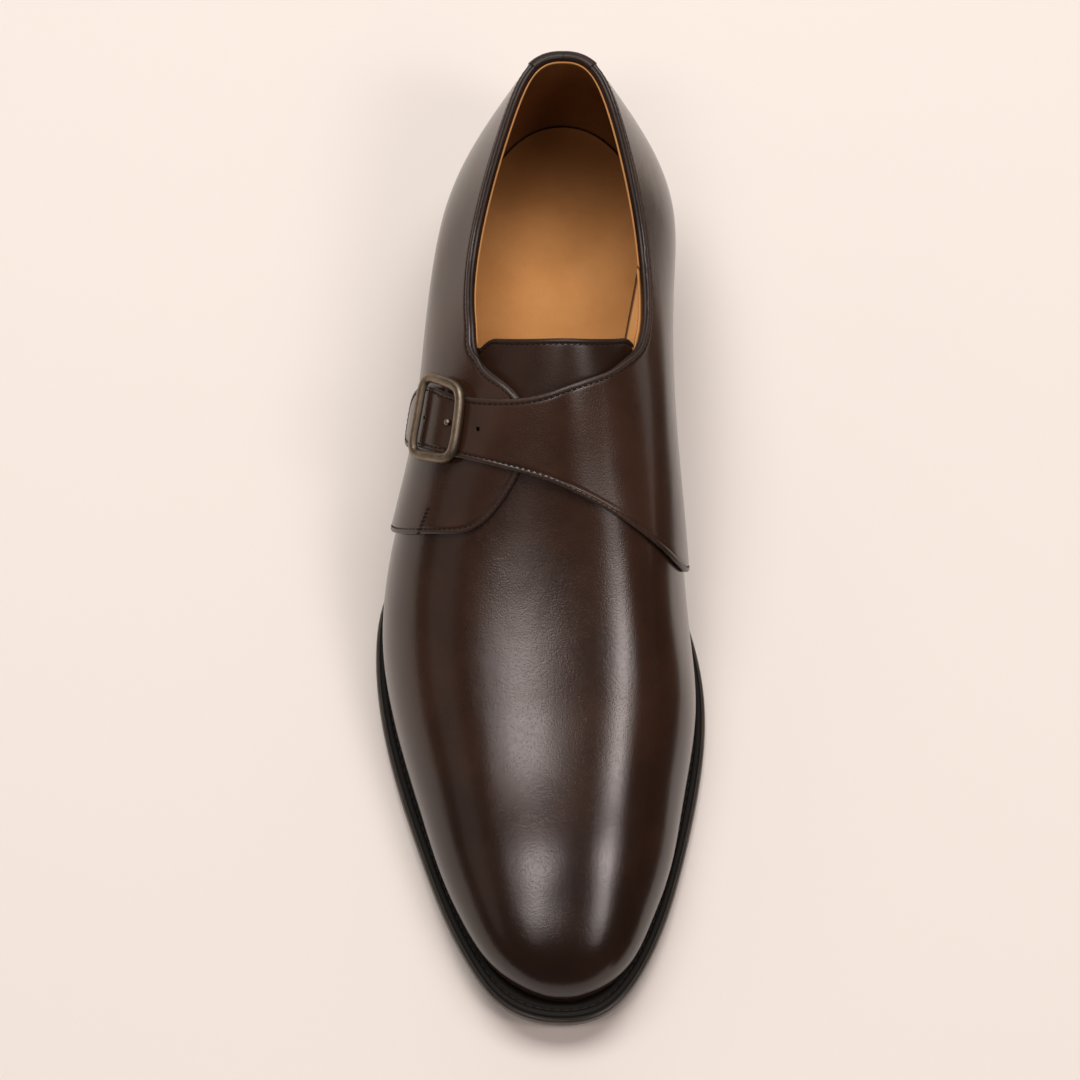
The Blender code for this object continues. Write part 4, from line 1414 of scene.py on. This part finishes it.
def make_stitches(tree, brown):
    section, side, first, second, seen = channel_lines(QUARTER_IN, 420)
    surface = last_point(section, side)
    keep = nearest(surface[:, 0], [surface[-1]]) > CHANNEL
    seen = seen & keep
    path_s, path_t = np.concatenate(
        (first[:, keep], second[:, seen][:, ::-1]), axis=1)
    high = strap_top(path_t) - CHANNEL_DIP + THREAD_LIFT
    stitch_row("strap_stitches", [lifted(path_s, path_t, high)], tree, brown,
               "quarter_leather")

    section, side, first, second, seen = channel_lines(QUARTER_OUT, 300)
    high = OVERLAY_GAP + OVERLAY_THICK - CHANNEL_DIP + THREAD_LIFT
    lines = [lifted(*first, high), lifted(*second[:, seen], high)]
    stitch_row("flap_stitches", lines, tree, brown, "quarter_leather")

    bar_s = np.linspace(0.5030, 0.4890, 12)
    bar_t = np.linspace(-0.430, -0.452, 12)
    high = OVERLAY_GAP + OVERLAY_THICK + THREAD_LIFT
    bars = [lifted(bar_s, bar_t + shift, high) for shift in (-0.0036, 0.0036)]
    stitch_row("flap_bar_tack", bars, tree, brown, "quarter_leather",
               TACK_STITCH)

    side = np.linspace(-0.34, 0.34, 120)
    down = CHANNEL / (UPPER_LENGTH * math.pi / 2.0)
    line = lifted(tongue_top(side) - down, side,
                  -(WALL + TONGUE_GAP) - CHANNEL_DIP + THREAD_LIFT)
    stitch_row("tongue_stitches", [line], tree, brown, "tongue_leather")


def make_welt_stitches(tree, black):
    lines = []
    for hand in (-1, 1):
        share = np.linspace(0.0, 0.86, 500)
        flat = sole_edge(share, hand, WELT_SHOWN + WELT_GROOVE)
        level = bottom(flat[:, 1]) + OUTSOLE_THICK + WELT_THICK - 0.22 * MM
        lines.append(np.concatenate((flat, level[:, None]), -1))
    whole = np.concatenate((lines[0][::-1], lines[1][1:]))
    stitch_row("welt_stitches", [whole], tree, black, "welt_leather",
               WELT_STITCH)


# Studio.
WARM = (1.0, 0.890, 0.862)
PALE = (1.0, 0.980, 0.955)

LIGHT_AIM = Vector((0.0, -0.05, 0.04))
LIGHT_REACH = 1.75

# Name, two angles of the place, two angles of the size, glow and tint.
LIGHTS = (
    ("left_core", -12.5, 13.3, 15.0, 7.5, 5.4, WARM),
    ("left_wide", -15.0, 13.2, 30.0, 10.0, 2.6, WARM),
    ("left_fade", -15.0, 21.5, 14.0, 17.0, 0.8, WARM),
    ("right_core", 27.5, 13.5, 15.0, 8.0, 6.4, WARM),
    ("right_wide", 28.5, 13.6, 29.0, 12.0, 2.3, WARM),
    ("right_fade", 26.0, 23.5, 18.0, 20.0, 1.6, WARM),
    ("left_fill", -59.0, 6.0, 27.0, 46.0, 0.24, WARM),
    ("top_box", 0.0, -23.0, 56.0, 25.0, 5.25, PALE),
    ("back_box", 0.0, -62.0, 80.0, 24.0, 0.9, PALE),
)


def soft_box(name, sideways, forward, across, along, glow, tint):
    # A softbox on the dome round the shoe, placed and sized in degrees:
    # sideways to the inner side, forward from overhead to the toe.
    turn = math.radians(sideways)
    lean = math.radians(forward)
    way = Vector((math.sin(turn), -math.sin(lean) * math.cos(turn),
                  math.cos(lean) * math.cos(turn)))
    wide = 2.0 * LIGHT_REACH * math.tan(math.radians(across / 2.0))
    tall = 2.0 * LIGHT_REACH * math.tan(math.radians(along / 2.0))
    lamp = bpy.data.lights.new(name, "AREA")
    lamp.shape = "ELLIPSE"
    lamp.size = wide
    lamp.size_y = tall
    lamp.energy = glow * math.pi * wide * tall
    lamp.color = tint
    thing = bpy.data.objects.new(name, lamp)
    bpy.context.scene.collection.objects.link(thing)
    up = Vector((0.0, 1.0, 0.0))
    up = (up - way * up.dot(way)).normalized()
    turned = Matrix((up.cross(way), up, way)).transposed()
    place = Matrix.Translation(LIGHT_AIM + way * LIGHT_REACH)
    thing.matrix_world = place @ turned.to_4x4()


FLOOR_HALF = 4.0
BACKDROP = (3.9, 0.66)


def make_studio():
    # A wide floor, a low round backdrop, a faint sky and the lights.
    reach = np.array((-FLOOR_HALF, FLOOR_HALF))
    grid = np.zeros((2, 2, 3))
    grid[:, :, 0] = reach[None, :]
    grid[:, :, 1] = reach[:, None]
    floor = grid_mesh("floor", [(grid, False, False)])
    floor.data.materials.append(pale_paper("pale_ground", 0.55, 2.5, 0.60))
    turn = np.linspace(0.0, 2.0 * math.pi, 64, endpoint=False)
    radius, high = BACKDROP
    wall = np.stack((radius * np.cos(turn), radius * np.sin(turn),
                     0.0 * turn), -1)
    top = wall + np.array((0.0, 0.0, high))
    ring = grid_mesh("backdrop", [(np.stack((top, wall)), True, False)])
    ring.data.materials.append(pale_paper("pale_wall", 0.5, 1.0, 0.45))
    ring.visible_glossy = False
    world = bpy.data.worlds.new("studio")
    world.use_nodes = True
    back = world.node_tree.nodes["Background"]
    back.inputs["Color"].default_value = (1.0, 0.95, 0.90, 1.0)
    back.inputs["Strength"].default_value = 0.07
    bpy.context.scene.world = world
    bpy.context.scene.view_settings.view_transform = "Standard"
    for light in LIGHTS:
        soft_box(*light)
    make_flag()


def make_flag():
    # A low dark card beside the inner side, seen in reflections alone.
    foot = np.array(FLAG_LINE)
    card = np.zeros((len(foot), 2, 3))
    card[:, :, :2] = foot[:, None, :]
    card[:, 1, 2] = FLAG_HIGH
    flag = grid_mesh("dark_card", [(card, False, False)])
    black = Finish("card_black", Roughness=1.0, Specular_IOR_Level=0.0)
    speck = black.noise(40.0)
    black.feed("Base Color", black.mix(speck, (0.090, 0.070, 0.055),
                                       (0.130, 0.105, 0.085)))
    flag.data.materials.append(black.material)
    flag.visible_camera = False
    flag.visible_diffuse = False
    flag.visible_shadow = False


# Camera: degrees above the floor, aim, distance, focal length in millimetres
# and the picture's shift as a share of its width.
CAMERA_RISE = 72.0
CAMERA_AIM = Vector((0.0, 0.00155, 0.0))
CAMERA_FAR = 1.5
CAMERA_LENS = 154.27
CAMERA_SHIFT = 0.0296


def make_camera():
    # Looks down at the shoe from the toe side, as in the photograph.
    rise = math.radians(CAMERA_RISE)
    back = Vector((0.0, -math.cos(rise), math.sin(rise)))
    lens = bpy.data.cameras.new("camera")
    lens.sensor_width = 36.0
    lens.lens = CAMERA_LENS
    lens.shift_y = CAMERA_SHIFT
    lens.clip_start = 0.05
    lens.clip_end = 20.0
    thing = bpy.data.objects.new("camera", lens)
    bpy.context.scene.collection.objects.link(thing)
    thing.location = CAMERA_AIM + back * CAMERA_FAR
    thing.rotation_euler = (-back).to_track_quat("-Z", "Y").to_euler()
    bpy.context.scene.camera = thing


def dress_node(name, mat):
    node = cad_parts[name]
    node.data.materials.clear()
    node.data.materials.append(mat)


def make_shoe():
    calf = polished_calf("polished_calf", (0.0225, 0.0094, 0.0052),
                         (0.0370, 0.0156, 0.0085), 0.155, toe=True)
    quarter = polished_calf("polished_calf_panels",
                            (0.0270, 0.0114, 0.0061),
                            (0.0430, 0.0180, 0.0095), 0.19, "edge")
    dull = polished_calf("tongue_calf", (0.0190, 0.0081, 0.0046),
                         (0.0310, 0.0132, 0.0074), 0.30, "edge",
                         wax=0.10)
    rolled = polished_calf("rolled_binding", (0.0140, 0.0062, 0.0038),
                           (0.0240, 0.0105, 0.0064), 0.36, None, 0.08)
    # The third colour of each tan is painted shade deep in the heel.
    lining = tan_leather("tan_lining", (0.56, 0.270, 0.098),
                         (0.44, 0.200, 0.065),
                         (0.11, 0.040, 0.010), True)
    sock = tan_leather("tan_sock", (0.66, 0.308, 0.100),
                       (0.55, 0.243, 0.070),
                       (0.14, 0.048, 0.010))
    welt = waxed_edge("inked_welt", (0.0038, 0.0027, 0.0019),
                      (0.0098, 0.0070, 0.0050), 0.46, wax=0.0)
    edge = waxed_edge("waxed_sole_edge", (0.030, 0.022, 0.016),
                      (0.075, 0.056, 0.042), 0.34)
    stack = waxed_edge("stacked_heel", (0.020, 0.0145, 0.0105),
                       (0.052, 0.037, 0.026), 0.34)
    metal = old_brass("antique_brass")
    brown = waxed_thread("brown_thread", (0.0050, 0.0030, 0.0020),
                         (0.0120, 0.0072, 0.0050))
    black = waxed_thread("black_thread", (0.008, 0.007, 0.006),
                         (0.028, 0.024, 0.020))
    make_vamp(calf)
    make_lining(lining)
    make_tongue_wing(lining)
    make_collar(rolled)
    make_quarter("quarter_lateral_flap", QUARTER_OUT, 300, quarter,
                 "quarter_lateral")
    make_quarter("quarter_medial_and_strap", QUARTER_IN, 420, quarter,
                 "quarter_medial_strap")
    make_tongue(dull)
    make_tab(rolled)
    make_sock(sock)
    make_welt(welt)
    make_outsole(edge)
    make_buckle(metal)
    make_prong(metal)
    tree = stitch_tree()
    make_stitches(tree, brown)
    make_welt_stitches(tree, black)
    make_heel(stack, black_rubber("black_rubber"))
    dress_node("buckle_bar", metal)


make_shoe()
make_studio()
make_camera()
